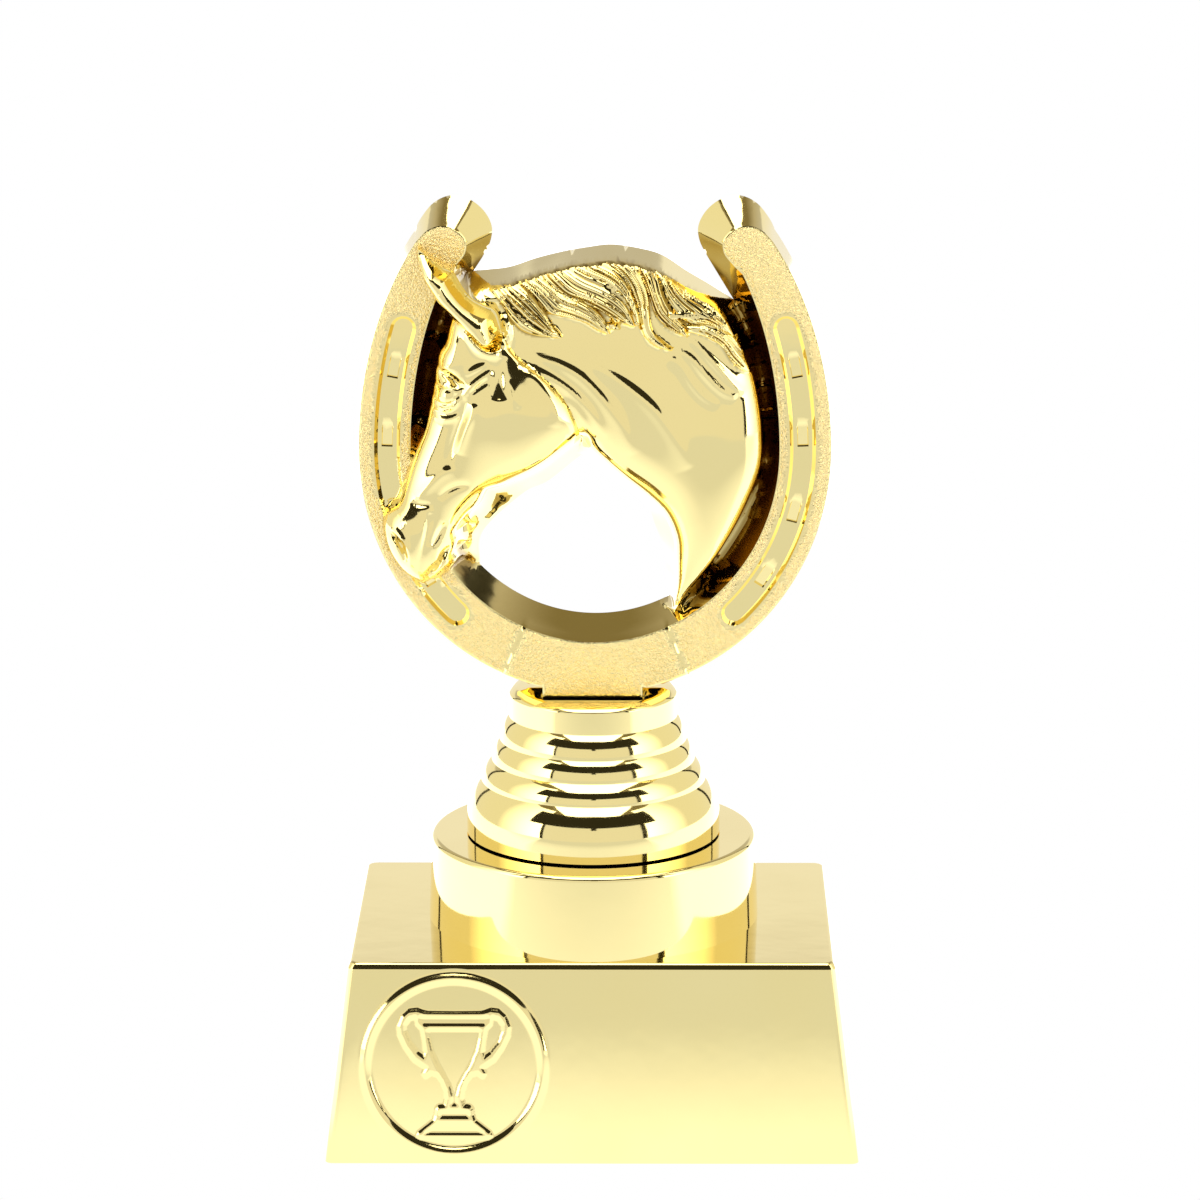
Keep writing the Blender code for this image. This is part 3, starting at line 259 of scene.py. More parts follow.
# eye: ball, brow crease and lids
EYE = (-21.5, 46.55)
EYE_HALF = (1.55, 1.15)
EYE_LIFT = 0.75
LIDS = (
    (((-23.6, 49.0), (-22.6, 48.4), (-21.6, 48.1), (-20.5, 47.8), (-19.6, 46.8)), 0.38, 0.32, 0.75),
    (((-23.6, 45.7), (-22.9, 44.9), (-21.8, 44.5), (-20.6, 44.7), (-19.7, 45.6), (-19.3, 46.6)), 0.34, 0.38, 0.6),
    (((-23.4, 50.3), (-21.8, 49.7), (-20.6, 49.3), (-19.4, 48.3), (-18.4, 48.6)), 0.65, 0.45, -1.0),
    (((-23.2, 43.6), (-21.9, 43.1), (-20.4, 43.3), (-19.2, 43.9)), 0.4, 0.5, 0.4),
    (((-23.8, 51.2), (-22.0, 51.0), (-20.2, 50.6)), 0.45, 0.5, 0.35))

# locks of the mane: lower edge and upper edge, each from the root to the tip, and the number of strands
LOCKS = (
    (((-16.3, 62.4), (-14.4, 61.5), (-13.1, 59.8), (-11.7, 57.5), (-10.0, 55.8), (-7.3, 55.1), (-4.2, 55.1)),
     ((-15.0, 63.0), (-12.2, 63.7), (-9.4, 62.0), (-7.5, 59.8), (-5.9, 57.5), (-4.2, 55.1)), 8),
    (((-12.4, 63.8), (-9.4, 62.1), (-7.2, 59.8), (-6.1, 58.5), (-3.9, 58.1), (-1.1, 57.4), (1.1, 56.1), (2.8, 55.6)),
     ((-8.6, 64.9), (-6.1, 62.9), (-3.9, 61.2), (-1.1, 60.4), (1.1, 58.9), (2.3, 57.3), (2.8, 55.6)), 7),
    (((-8.6, 64.9), (-6.1, 62.8), (-3.9, 61.1), (-1.1, 60.2), (1.1, 59.0), (3.3, 57.7), (5.3, 56.9), (6.5, 56.7)),
     ((-4.4, 65.9), (-1.1, 64.3), (1.7, 63.3), (3.9, 61.8), (5.5, 59.8), (6.5, 56.7)), 7),
    (((-4.4, 65.9), (-1.1, 64.2), (1.7, 63.2), (3.9, 61.7), (5.5, 59.7), (6.7, 57.2), (7.1, 56.4)),
     ((-0.6, 66.6), (2.8, 65.5), (5.0, 63.5), (6.3, 60.8), (7.1, 57.8), (7.1, 56.4)), 6),
    (((-0.6, 66.6), (2.8, 65.5), (5.0, 63.4), (6.4, 60.6), (7.1, 57.3), (7.8, 55.2), (9.4, 53.8), (11.9, 53.2)),
     ((5.4, 66.3), (7.2, 64.0), (8.3, 61.2), (8.6, 58.7), (8.9, 56.4), (10.3, 54.6), (11.9, 53.2)), 7),
    (((5.4, 66.3), (7.2, 63.9), (8.4, 61.0), (9.2, 58.4), (10.8, 56.6), (12.2, 55.8), (14.2, 55.2)),
     ((8.4, 65.6), (9.7, 63.8), (10.4, 61.2), (11.6, 58.9), (13.3, 57.1), (14.2, 55.2)), 5),
    (((8.4, 65.6), (9.8, 63.6), (10.6, 61.0), (12.0, 58.6), (14.0, 57.0), (16.6, 56.8), (19.0, 56.0), (21.0, 54.9)),
     ((11.4, 64.4), (13.0, 63.2), (15.3, 61.4), (17.5, 60.4), (19.5, 58.4), (21.0, 54.9)), 8),
    (((13.8, 55.9), (16.7, 55.0), (18.9, 53.6), (20.3, 51.4), (22.0, 49.8), (23.5, 49.5)),
     ((14.0, 56.9), (17.0, 56.8), (20.3, 55.4), (22.0, 53.4), (23.0, 51.4), (23.5, 49.5)), 6),
    (((11.4, 64.4), (13.0, 63.1), (15.3, 61.3), (17.5, 60.2), (19.6, 58.2), (21.2, 55.0), (22.7, 51.7)),
     ((13.6, 62.8), (16.5, 61.2), (18.5, 59.7), (20.2, 57.0), (21.6, 54.2), (22.7, 51.7)), 4))
LOCK_LIFT = 1.35
LOCK_EDGE = 0.3
LOCK_ROOT = 0.55
LOCK_STATIONS = 26
STRAND_DEPTH = 0.30
STRAND_STEEPNESS = 0.6
STRAND_WANDER = 0.06
STRAND_STEP = 0.30
STRANDS_A_BUNDLE = 2.6
BUNDLE_DEPTH = 0.38
# painted shade in the strand grooves: groove depth that would darken fully, and the cap on that darkening
GROOVE_FULL = 0.45
GROOVE_SHADE = 0.75

# nail pockets in the fullers: height of their middle, length and width, depth at the lower end
POCKET_HEIGHTS = (50.2, 39.5, 28.4, 18.4)
POCKET_LENGTH = 3.6
POCKET_WIDTH = 1.5
POCKET_DEPTH = 0.55

# the toe piece, slightly proud between two seams
SEAM_UPPER = (10.6, 10.8)
SEAM_LOWER = (14.0, 2.6)
TOE_LIFT = 0.22
SEAM_ROLL = 0.45

# spacing of the fine mesh
EDGE_SPACING = 0.42
MANE_SPACING = 0.25
STRAND_CLEARANCE = 0.08
HEAD_SPACING = 0.27
NECK_SPACING = 0.36
VALLEY_WIDTH = 3.0
ROW_CLEARANCE = 0.14
ROW_OFFSETS = (("horse", (-0.12, -0.35, -0.7, 0.25, 0.5, 0.75, 1.0, 1.25, 1.5, 1.8, 2.1)),
               ("shoe_face", (-0.15, -0.4, 0.3, 0.6, 0.95, 1.35, 1.8, 2.3, 2.9, 3.6)),
               ("ear", (-0.15, -0.35, 0.25, 0.5)), ("head", (-0.1, -0.3, 0.15)),
               ("silhouette", (-0.3, -0.55)), ("window", (0.3, 0.55)))
SHOE_SPACING = 0.95
BACK_SCALE = 1.55
FIGURE_SHARP = math.radians(48.0)
ROUND_SHARP = math.radians(40.0)
LOCK_EDGE_SPACING = 0.5

# finish: colours, then noises as scale, detail and roughness, then what they move
GOLD = (0.97, 0.81, 0.34, 1.0)
WARM_GOLD = (GOLD[0] * 0.97, GOLD[1] * 0.95, GOLD[2] * 0.88, 1.0)
# the next colour is painted shade: a dark gold laid into the gap between horse and shoe and into the mane's grooves to
# stand in for their shade
PAINTED_SHADE_GOLD = (0.36, 0.24, 0.06, 1.0)
GRAINED_GOLD = (0.85, 0.67, 0.29, 1.0)
CLOUDS = (60.0, 3.0, 0.5)
CLOUD_RANGE = (0.35, 0.7)
ROUGHNESS_RANGE = (0.045, 0.085)
WAVES = (170.0, 2.0, 0.5)
WAVE_STRENGTH = 0.35
WAVE_DEPTH = 0.00004
PITS = (2600.0, 2.5, 0.65)
PIT_DEPTH = 0.00045
GRAIN_ROUGHNESS = 0.24

# studio, in metres and degrees: azimuths from the front, positive to the right, and elevations
WHITE = (1.0, 1.0, 1.0, 1.0)
TENT_RADIUS = 0.60
TENT_MIDDLE = 0.07
SIDE_PANELS = (("panel_left", (-134.0, -48.0)), ("panel_right", (50.0, 136.0)))
SIDE_ELEVATIONS = (-5.0, 52.0)
SIDE_FADE = (-0.40, 0.05)
SIDE_LEVELS = (3.4, 0.9)
TOP_HALF_WIDTH = 0.28
TOP_REACH = (-0.50, 0.30)
TOP_HEIGHT = 0.62
TOP_LEVEL = 3.2
CARD_FRONT = ((-45.0, 45.0), (-6.0, 21.0), 0.58)
CARD_COLOUR = (0.88, 0.89, 0.98, 1.0)
GAP_COLOUR = (1.0, 0.9, 0.6, 1.0)
GAP_LEVEL = 0.03
GAPS = (("gap_front", (-62.0, 62.0), (21.0, 46.0), 0.58), ("gap_middle", (-1.5, 3.5), (16.5, 21.0), 0.57),
        ("gap_side_right", (45.0, 50.0), (-5.0, 21.0), 0.58), ("gap_side_left", (-48.0, -45.0), (-5.0, 21.0), 0.58),
        ("gap_left", (-137.5, -134.0), (-4.0, 56.0), TENT_RADIUS),
        ("gap_right", (136.0, 139.5), (-4.0, 56.0), TENT_RADIUS))
SCREEN_STEPS = 24
FLOOR_TINT = (1.0, 1.05, 1.25, 1.0)
FLOOR_WEDGE = 0.95
FLOOR_SIDE_START = (0.04, 0.07)
FLOOR_FRONT_LEVEL = 0.80
FLOOR_SIDE_LEVEL = 1.3
FLOOR_CLOSE = (-0.26, -0.07)
FLOOR_CLOSE_GAIN = 0.45
BACKDROP_LEVELS = ((0.0, (0.94, 0.94, 0.99)), (0.304, (0.92, 0.92, 0.97)), (0.345, (0.58, 0.57, 0.6)),
                   (0.56, (0.5, 0.46, 0.42)), (0.76, (0.23, 0.19, 0.11)))


def spline(points, spacing):
    """Points along a smooth curve through the given points, ends included."""
    points = [np.array(p, dtype=float) for p in points]
    ends = [2 * points[0] - points[1]] + points + [2 * points[-1] - points[-2]]
    result = []
    for i in range(1, len(ends) - 2):
        p0, p1, p2, p3 = ends[i - 1:i + 3]
        steps = max(1, int(round(np.linalg.norm(p2 - p1) / spacing)))
        for k in range(steps):
            t = k / steps
            point = 0.5 * (2 * p1 + (p2 - p0) * t + (2 * p0 - 5 * p1 + 4 * p2 - p3) * t * t
                           + (3 * p1 - p0 - 3 * p2 + p3) * t ** 3)
            result.append(tuple(point))
    result.append(tuple(points[-1]))
    return result


def oval_arc(size, start, end, spacing):
    """Points on an oval of unlike lower and upper half, from start to end angle in degrees."""
    half_width, low, up = size
    steps = max(2, int(abs(math.radians(end - start)) * half_width / spacing))
    points = []
    for i in range(steps + 1):
        angle = math.radians(start + (end - start) * i / steps)
        tall = up if math.sin(angle) > 0 else low
        points.append((SHOE_CENTRE[0] + half_width * math.cos(angle), SHOE_CENTRE[1] + tall * math.sin(angle)))
    return points


def angle_at(size, height):
    """Angle in degrees at which an oval's upper half reaches a height."""
    return math.degrees(math.asin(min(1.0, (height - SHOE_CENTRE[1]) / size[2])))


def mirrored(points, side):
    """Heel points on one side of the shoe."""
    return [(SHOE_CENTRE[0] + side * x, z) for x, z in points]


def toe_outline(points):
    """Step the toe piece out below the shoe and cut it flat at the foot."""
    result = []
    for x, z in points:
        if abs(x - SHOE_CENTRE[0]) < TOE_HALF_WIDTH and z < SHOE_CENTRE[1] / 2:
            z -= TOE_STEP
        result.append((x, max(z, 0.0)))
    return result


def pad_outline(points):
    """Bring the face's lower edge down to the flat pad that the figure stands on."""
    low = SHOE_CENTRE[1] - (SHOE_INNER_FACE[1] + SHOE_OUTER_FACE[1]) / 2
    left = [p for p in points if p[1] < low and p[0] < -PAD_HALF_WIDTH - 0.3]
    corner = max(left, key=lambda p: p[0])[1]
    result = []
    for x, z in points:
        if z > low or abs(x) >= PAD_HALF_WIDTH + 0.3:
            result.append((x, z))
        elif abs(x) < PAD_HALF_WIDTH - 0.3:
            result.append((x, PAD_BAND))
    place = next(i for i, p in enumerate(result) if p[1] == PAD_BAND)
    result[place:place] = [(PAD_HALF_WIDTH + 0.02, corner), (PAD_HALF_WIDTH, PAD_BAND)]
    place = max(i for i, p in enumerate(result) if p[1] == PAD_BAND) + 1
    result[place:place] = [(-PAD_HALF_WIDTH, PAD_BAND), (-PAD_HALF_WIDTH - 0.02, corner)]
    return result


def shoe_loop(outer, inner, heel, spacing):
    """The C of the shoe: outer oval, left heel, inner oval, right heel."""
    up_outer = angle_at(outer, heel[0][1])
    up_inner = angle_at(inner, heel[-1][1] - 1.2)
    heel_points = spline(heel, spacing)
    loop = oval_arc(outer, up_outer, -180.0 - up_outer, spacing)[1:-1]
    loop += mirrored(heel_points, -1)
    loop += oval_arc(inner, 180.0 - up_inner, 360.0 + up_inner, spacing)
    loop += list(reversed(mirrored(heel_points, 1)))
    return loop


def fuller_line(side, spacing=2.0):
    """Middle line of one fuller, from its upper end to its lower end."""
    half_width, low, up = FULLER_MIDDLE
    top = math.degrees(math.asin((FULLER_TOP - FULLER_HALF_WIDTH - SHOE_CENTRE[1]) / up))
    bottom = math.degrees(math.asin((FULLER_END - SHOE_CENTRE[1]) / low))
    points = oval_arc(FULLER_MIDDLE, top, bottom, spacing)
    return [(SHOE_CENTRE[0] + side * (x - SHOE_CENTRE[0]), z) for x, z in points]


def resampled(line, count):
    """Points at equal steps along a broken line."""
    line = np.array(line)
    run = np.concatenate(([0.0], np.cumsum(np.hypot(*(line[1:] - line[:-1]).T))))
    places = np.linspace(0.0, run[-1], count)
    return np.stack((np.interp(places, run, line[:, 0]), np.interp(places, run, line[:, 1])), axis=1)


def directions(line):
    """Unit vectors along a broken line, one for each point."""
    ahead = []
    for i in range(len(line)):
        before = line[max(i - 1, 0)]
        after = line[min(i + 1, len(line) - 1)]
        run = math.hypot(after[0] - before[0], after[1] - before[1])
        ahead.append(((after[0] - before[0]) / run, (after[1] - before[1]) / run))
    return ahead


def fuller_loop(side, reach, spacing):
    """Closed outline at one distance all round a fuller's middle line."""
    line = fuller_line(side, spacing)
    ahead = directions(line)
    way = list(zip(line, ahead))
    loop = []
    for sign in (1.0, -1.0):
        loop += [(x - sign * reach * dz, z + sign * reach * dx) for (x, z), (dx, dz) in way]
        (x, z), (dx, dz) = way[-1]
        for turn in range(1, FULLER_TURNS + 1):
            angle = math.radians(sign * 90.0 - 180.0 * turn / (FULLER_TURNS + 1))
            loop.append((x + reach * (dx * math.cos(angle) - dz * math.sin(angle)),
                         z + reach * (dz * math.cos(angle) + dx * math.sin(angle))))
        way.reverse()
    return loop


def pocket_frames():
    """Middle and direction of every nail pocket, both sides."""
    frames = []
    for side in (-1, 1):
        line = fuller_line(side, 0.5)
        ahead = directions(line)
        for height in POCKET_HEIGHTS:
            index = min(range(len(line)), key=lambda i: abs(line[i][1] - height))
            frames.append((line[index], ahead[index]))
    return frames


def pocket_loop(frame, grow):
    """Rectangle of a nail pocket, grown or shrunk by a margin."""
    (x, z), (dx, dz) = frame
    along = POCKET_LENGTH / 2 + grow
    across = POCKET_WIDTH / 2 + grow
    corners = ((-along, -across), (along, -across), (along, across), (-along, across))
    loop = []
    for (a0, c0), (a1, c1) in zip(corners, corners[1:] + corners[:1]):
        steps = 5
        for k in range(steps):
            a = a0 + (a1 - a0) * k / steps
            c = c0 + (c1 - c0) * k / steps
            loop.append((x + a * dx - c * dz, z + a * dz + c * dx))
    return loop


def seam_line(side, inset=0.0):
    """One seam of the toe piece, as a line from its upper to its lower end."""
    upper = (SHOE_CENTRE[0] + side * (SEAM_UPPER[0] - inset), SEAM_UPPER[1])
    lower = (SHOE_CENTRE[0] + side * (SEAM_LOWER[0] - inset), SEAM_LOWER[1])
    return [upper, lower]


def lock_loops(spacing):
    """Closed outlines of the locks."""
    loops = []
    for lower, upper, _ in LOCKS:
        loops.append(spline(lower, spacing)[:-1] + list(reversed(spline(upper, spacing))))
    return loops


def figure_loops(spacing):
    """All outlines that the figure's form follows, in drawn millimetres."""
    loops = {}
    up_outer = angle_at(SHOE_OUTER_PARTING, HEEL_PARTING[0][1])
    outer = oval_arc(SHOE_OUTER_PARTING, up_outer, -180.0 - up_outer, spacing)[1:-1]
    heel = spline(HEEL_PARTING, spacing)
    left_join = (SHOE_CENTRE[0] + LEFT_JOIN[0], LEFT_JOIN[1])
    right_join = (SHOE_CENTRE[0] + RIGHT_JOIN[0], RIGHT_JOIN[1])
    crest = spline((left_join,) + CREST_PARTING + (right_join,), spacing)
    silhouette = toe_outline(outer) + mirrored(heel, -1) + crest
    silhouette += list(reversed(mirrored(heel, 1)))
    loops["silhouette"] = silhouette

    # the window: the throat, then the shoe's inner edge
    right_height = THROAT_PARTING[-1][1] - WINDOW_RIGHT_DROP
    start, end = (math.degrees(math.asin((height - SHOE_CENTRE[1]) / SHOE_INNER_PARTING[1]))
                  for height in (right_height, WINDOW_LEFT_HEIGHT))
    bottom = oval_arc(SHOE_INNER_PARTING, start, -180.0 - end, spacing)
    loops["window"] = spline((bottom[-1],) + THROAT_PARTING + (bottom[0],), spacing)[:-1] + bottom[:-1]

    loops["shoe_parting"] = shoe_loop(SHOE_OUTER_PARTING, SHOE_INNER_PARTING, HEEL_PARTING, spacing)
    face = shoe_loop(SHOE_OUTER_FACE, SHOE_INNER_FACE, HEEL_FACE, spacing)
    loops["shoe_face"] = pad_outline(face)
    horse = spline(BACK_EDGE, spacing)[:-1] + spline(BACK_EDGE[-1:] + NECK_EDGE, spacing)[:-1]
    horse += spline(NECK_EDGE[-1:] + JAW_EDGE, spacing)[:-1]
    horse += spline(JAW_EDGE[-1:] + CHIN_EDGE + MUZZLE_EDGE + FACE_EDGE + BACK_EDGE[:1], spacing)[:-1]
    loops["horse"] = horse
    head = spline(CHEEK_EDGE, spacing)[:-1] + spline(CHEEK_EDGE[-1:] + JAW_EDGE, spacing)[:-1]
    head += spline(JAW_EDGE[-1:] + CHIN_EDGE + MUZZLE_EDGE + FACE_EDGE + CHEEK_EDGE[:1], spacing)[:-1]
    loops["head"] = head
    loops["ear"] = spline(EAR_NEAR, spacing)[:-1] + list(reversed(spline(EAR_FAR, spacing)))[:-1]
    for name, side in (("left", -1), ("right", 1)):
        loops["fuller_rim_" + name] = fuller_loop(side, FULLER_HALF_WIDTH, spacing)
        loops["fuller_floor_" + name] = fuller_loop(side, FULLER_HALF_WIDTH - FULLER_WALL, spacing)
    return loops


def distance_to_line(x, z, points, closed=False):
    """Distance to a broken line, the share of its length there, and the side (positive to the left)."""
    points = np.array(points, dtype=float)
    if closed:
        points = np.vstack((points, points[:1]))
    best = np.full(x.shape, 1e9)
    share = np.zeros(x.shape)
    side = np.zeros(x.shape)
    lengths = np.hypot(*(points[1:] - points[:-1]).T)
    total = max(lengths.sum(), 1e-9)
    run = 0.0
    for start, end, length in zip(points, points[1:], lengths):
        if length < 1e-9:
            continue
        dx, dz = end - start
        along = np.clip(((x - start[0]) * dx + (z - start[1]) * dz) / length ** 2, 0.0, 1.0)
        gap = np.hypot(x - start[0] - along * dx, z - start[1] - along * dz)
        nearer = gap < best
        best = np.where(nearer, gap, best)
        share = np.where(nearer, (run + along * length) / total, share)
        side = np.where(nearer, dx * (z - start[1]) - dz * (x - start[0]), side)
        run += length
    return best, share, side


def inside(x, z, loop):
    """True where a point lies within a closed outline."""
    result = np.zeros(x.shape, dtype=bool)
    for (x1, z1), (x2, z2) in zip(loop, loop[1:] + loop[:1]):
        if z1 == z2:
            continue
        crosses = ((z1 > z) != (z2 > z)) & (x < (x2 - x1) * (z - z1) / (z2 - z1) + x1)
        result ^= crosses
    return result


def signed_distance(x, z, loop):
    """Distance to a closed outline, negative within it."""
    gap, _, _ = distance_to_line(x, z, loop, closed=True)
    return np.where(inside(x, z, loop), -gap, gap)


def swell(x, z, loop):
    """A smooth depth inside an outline: the distance near it, rounded over where two edges are alike far.

    It is pi over the sum of the angles under which the edges are seen, each divided by its distance.
    """
    total = np.zeros(x.shape)
    for (x1, z1), (x2, z2) in zip(loop, loop[1:] + loop[:1]):
        length = math.hypot(x2 - x1, z2 - z1)
        if length < 1e-9:
            continue
        dx = (x2 - x1) / length
        dz = (z2 - z1) / length
        low = (x1 - x) * dx + (z1 - z) * dz
        high = low + length
        height = np.maximum(np.abs((x1 - x) * dz - (z1 - z) * dx), 1e-4)
        total += (np.arctan(high / height) - np.arctan(low / height)) / height
    return math.pi / np.maximum(total, 1e-9)


def ease(low, high, value):
    """Smooth step from 0 at low to 1 at high."""
    t = np.clip((value - low) / (high - low), 0.0, 1.0)
    return t * t * (3.0 - 2.0 * t)


def dome(depth, rounding):
    """A round shoulder from 0 at the edge towards 1 inside."""
    t = np.sqrt(2.0 * np.maximum(depth, 0.0) / rounding)
    return np.tanh(1.1 * t)


def shoe_height(x, z, loops):
    """Height of the shoe alone: flat face with broken edges, flared sides, sunk fullers, toe piece."""
    within = np.maximum(-signed_distance(x, z, loops["shoe_parting"]), 0.0)
    to_face = signed_distance(x, z, loops["shoe_face"])
    beyond = np.maximum(to_face, 0.0)
    share = np.where(beyond <= 1e-6, 1.0, within / np.maximum(within + beyond, 1e-9))
    height = HALF_THICKNESS * share
    broken = np.where(to_face <= 0.0, 1.0 - ease(0.0, EDGE_BREAK_WIDTH, -to_face), share)
    height -= EDGE_BREAK * broken
    toe = np.ones(x.shape)
    for side in (-1, 1):
        line = fuller_line(side, 0.7)
        gap, _, _ = distance_to_line(x, z, line)
        height -= FULLER_DEPTH * (1.0 - ease(FULLER_HALF_WIDTH - FULLER_WALL, FULLER_HALF_WIDTH, gap))
        upper, lower = seam_line(side)
        run = math.hypot(lower[0] - upper[0], lower[1] - upper[1])
        across = side * ((x - upper[0]) * (upper[1] - lower[1]) + (z - upper[1]) * (lower[0] - upper[0])) / run
        toe *= 1.0 - ease(-0.5 * SEAM_ROLL, 0.5 * SEAM_ROLL, across)
        height -= 0.12 * np.exp(-((across - 0.2) / 0.14) ** 2) * (z < SEAM_UPPER[1] + 0.4) * (share > 0.9)
    height += TOE_LIFT * toe * (z < SHOE_CENTRE[1] / 2) * ease(0.6, 0.98, share)
    for (px, pz), (dx, dz) in pocket_frames():
        along = (x - px) * dx + (z - pz) * dz
        across = -(x - px) * dz + (z - pz) * dx
        edge = np.minimum(POCKET_LENGTH / 2 - np.abs(along), POCKET_WIDTH / 2 - np.abs(across))
        depth = POCKET_DEPTH * np.clip(0.12 + 0.88 * (along / POCKET_LENGTH + 0.5), 0.0, 1.0)
        height -= depth * ease(-0.06, 0.06, edge)
    return height


def fold(x, z, points, left, right, lift):
    """One fold or crease of unlike sides, faded towards both ends."""
    away, share, side = distance_to_line(x, z, spline(points, 0.6))
    width = np.where(side > 0, left, right)
    taper = np.sin(np.pi * np.clip(share, 0.0, 1.0)) ** 0.6
    reach = (away / width) ** 2
    return lift * taper / (1.0 + reach) * np.exp(-0.35 * reach)


def lock_edges(lower, upper):
    """The two edges of a lock as stations that face each other."""
    low = resampled(spline(lower, LOCK_EDGE_SPACING), LOCK_STATIONS)
    high = resampled(spline(upper, LOCK_EDGE_SPACING), LOCK_STATIONS)
    return low, high


def lock_shares(x, z, low, high):
    """Share along a lock (negative outside it), share across it and its width there."""
    along = np.full(x.shape, -1.0)
    across = np.zeros(x.shape)
    last = LOCK_STATIONS - 1
    for k in range(last):
        e = low[k + 1] - low[k]
        f = high[k] - low[k]
        g = low[k] - low[k + 1] + high[k + 1] - high[k]
        hx = x - low[k][0]
        hz = z - low[k][1]
        k2 = g[0] * f[1] - g[1] * f[0]
        k1 = e[0] * f[1] - e[1] * f[0] + hx * g[1] - hz * g[0]
        k0 = hx * e[1] - hz * e[0]
        if abs(k2) < 1e-7:
            roots = (-k0 / np.where(np.abs(k1) < 1e-9, 1e-9, k1),)
        else:
            root = np.sqrt(np.maximum(k1 * k1 - 4.0 * k0 * k2, 0.0))
            roots = ((-k1 - root) / (2.0 * k2), (-k1 + root) / (2.0 * k2))
        for v in roots:
            run_x = e[0] + g[0] * v
            run_z = e[1] + g[1] * v
            level = np.abs(run_x) > np.abs(run_z)
            divisor = np.where(level, run_x, run_z)
            rest = np.where(level, hx - f[0] * v, hz - f[1] * v)
            u = rest / np.where(np.abs(divisor) < 1e-9, 1e-9, divisor)
            hit = (u > -1e-4) & (u < 1.0001) & (v > -1e-4) & (v < 1.0001)
            along = np.where(hit, (k + u) / last, along)
            across = np.where(hit, np.clip(v, 0.0, 1.0), across)
    widths = np.hypot(*(high - low).T)
    width = np.interp(along, np.linspace(0.0, 1.0, LOCK_STATIONS), widths)
    return along, across, width


def strand_wave(along, number):
    """How far the strands of a lock wander sideways, as a share of its width."""
    return STRAND_WANDER * np.sin(2.0 * np.pi * (1.15 * along + 0.37 * number))


def mane_height(x, z, fine):
    """Locks that lie over the neck, each with round strands that run together at its tip."""
    total = np.zeros(x.shape)
    for number, (lower, upper, strands) in enumerate(LOCKS):
        low, high = lock_edges(lower, upper)
        both = np.vstack((low, high))
        near = (x > both[:, 0].min() - 0.1) & (x < both[:, 0].max() + 0.1)
        near &= (z > both[:, 1].min() - 0.1) & (z < both[:, 1].max() + 0.1)
        along, across, width = lock_shares(x[near], z[near], low, high)
        bulge = np.sqrt(np.clip(1.0 - (2.0 * across - 1.0) ** 2, 0.0, 1.0))
        height = LOCK_LIFT * (LOCK_EDGE + (1.0 - LOCK_EDGE) * bulge) * (LOCK_ROOT + (1.0 - LOCK_ROOT) * along)
        if fine:
            phase = strands * (across + strand_wave(along, number) * bulge)
            part = phase - np.floor(phase)
            strand = np.sqrt(np.clip(1.0 - (2.0 * part - 1.0) ** 2, 0.0, 1.0))
            unlike = 0.75 + 0.25 * np.sin(12.99 * np.floor(phase) + 4.1 * number)
            bundle = np.abs(np.sin(np.pi * phase / STRANDS_A_BUNDLE + number)) ** 0.5
            depth = np.minimum(STRAND_DEPTH, STRAND_STEEPNESS * width / strands)
            height -= depth * unlike * (1.0 - strand) + BUNDLE_DEPTH * (1.0 - bundle) * ease(0.8, 2.4, width)
        total[near] = np.maximum(total[near], np.where(along >= 0.0, height, 0.0))
    return total


def mane_points():
    """Rows of points along every strand's groove, flanks and top, and just outside each lock."""
    points = []
    for number, (lower, upper, strands) in enumerate(LOCKS):
        low, high = lock_edges(lower, upper)
        length = np.hypot(*(low[1:] - low[:-1]).T).sum()
        steps = int(length / STRAND_STEP)
        along = np.linspace(0.0, 1.0, steps + 1)
        station = np.linspace(0.0, 1.0, LOCK_STATIONS)
        near = np.stack([np.interp(along, station, low[:, i]) for i in (0, 1)], axis=1)
        far = np.stack([np.interp(along, station, high[:, i]) for i in (0, 1)], axis=1)
        rows = [0.0, 1.0] + [row / (4.0 * strands) for row in range(1, 4 * strands)]
        for row in rows:
            bulge = math.sqrt(max(1.0 - (2.0 * row - 1.0) ** 2, 0.0))
            across = np.clip(row - strand_wave(along, number) * bulge, 0.0, 1.0)[:, None]
            points += [tuple(p) for p in near + (far - near) * across]
    return points


def ear_points():
    """Rows of points along the ear, side by side from its near edge to its far edge."""
    near = resampled(spline(EAR_NEAR, LOCK_EDGE_SPACING), EAR_STATIONS)
    far = resampled(spline(EAR_FAR, LOCK_EDGE_SPACING), EAR_STATIONS)
    return [tuple(p) for row in range(1, EAR_ROWS) for p in near + (far - near) * (row / EAR_ROWS)]


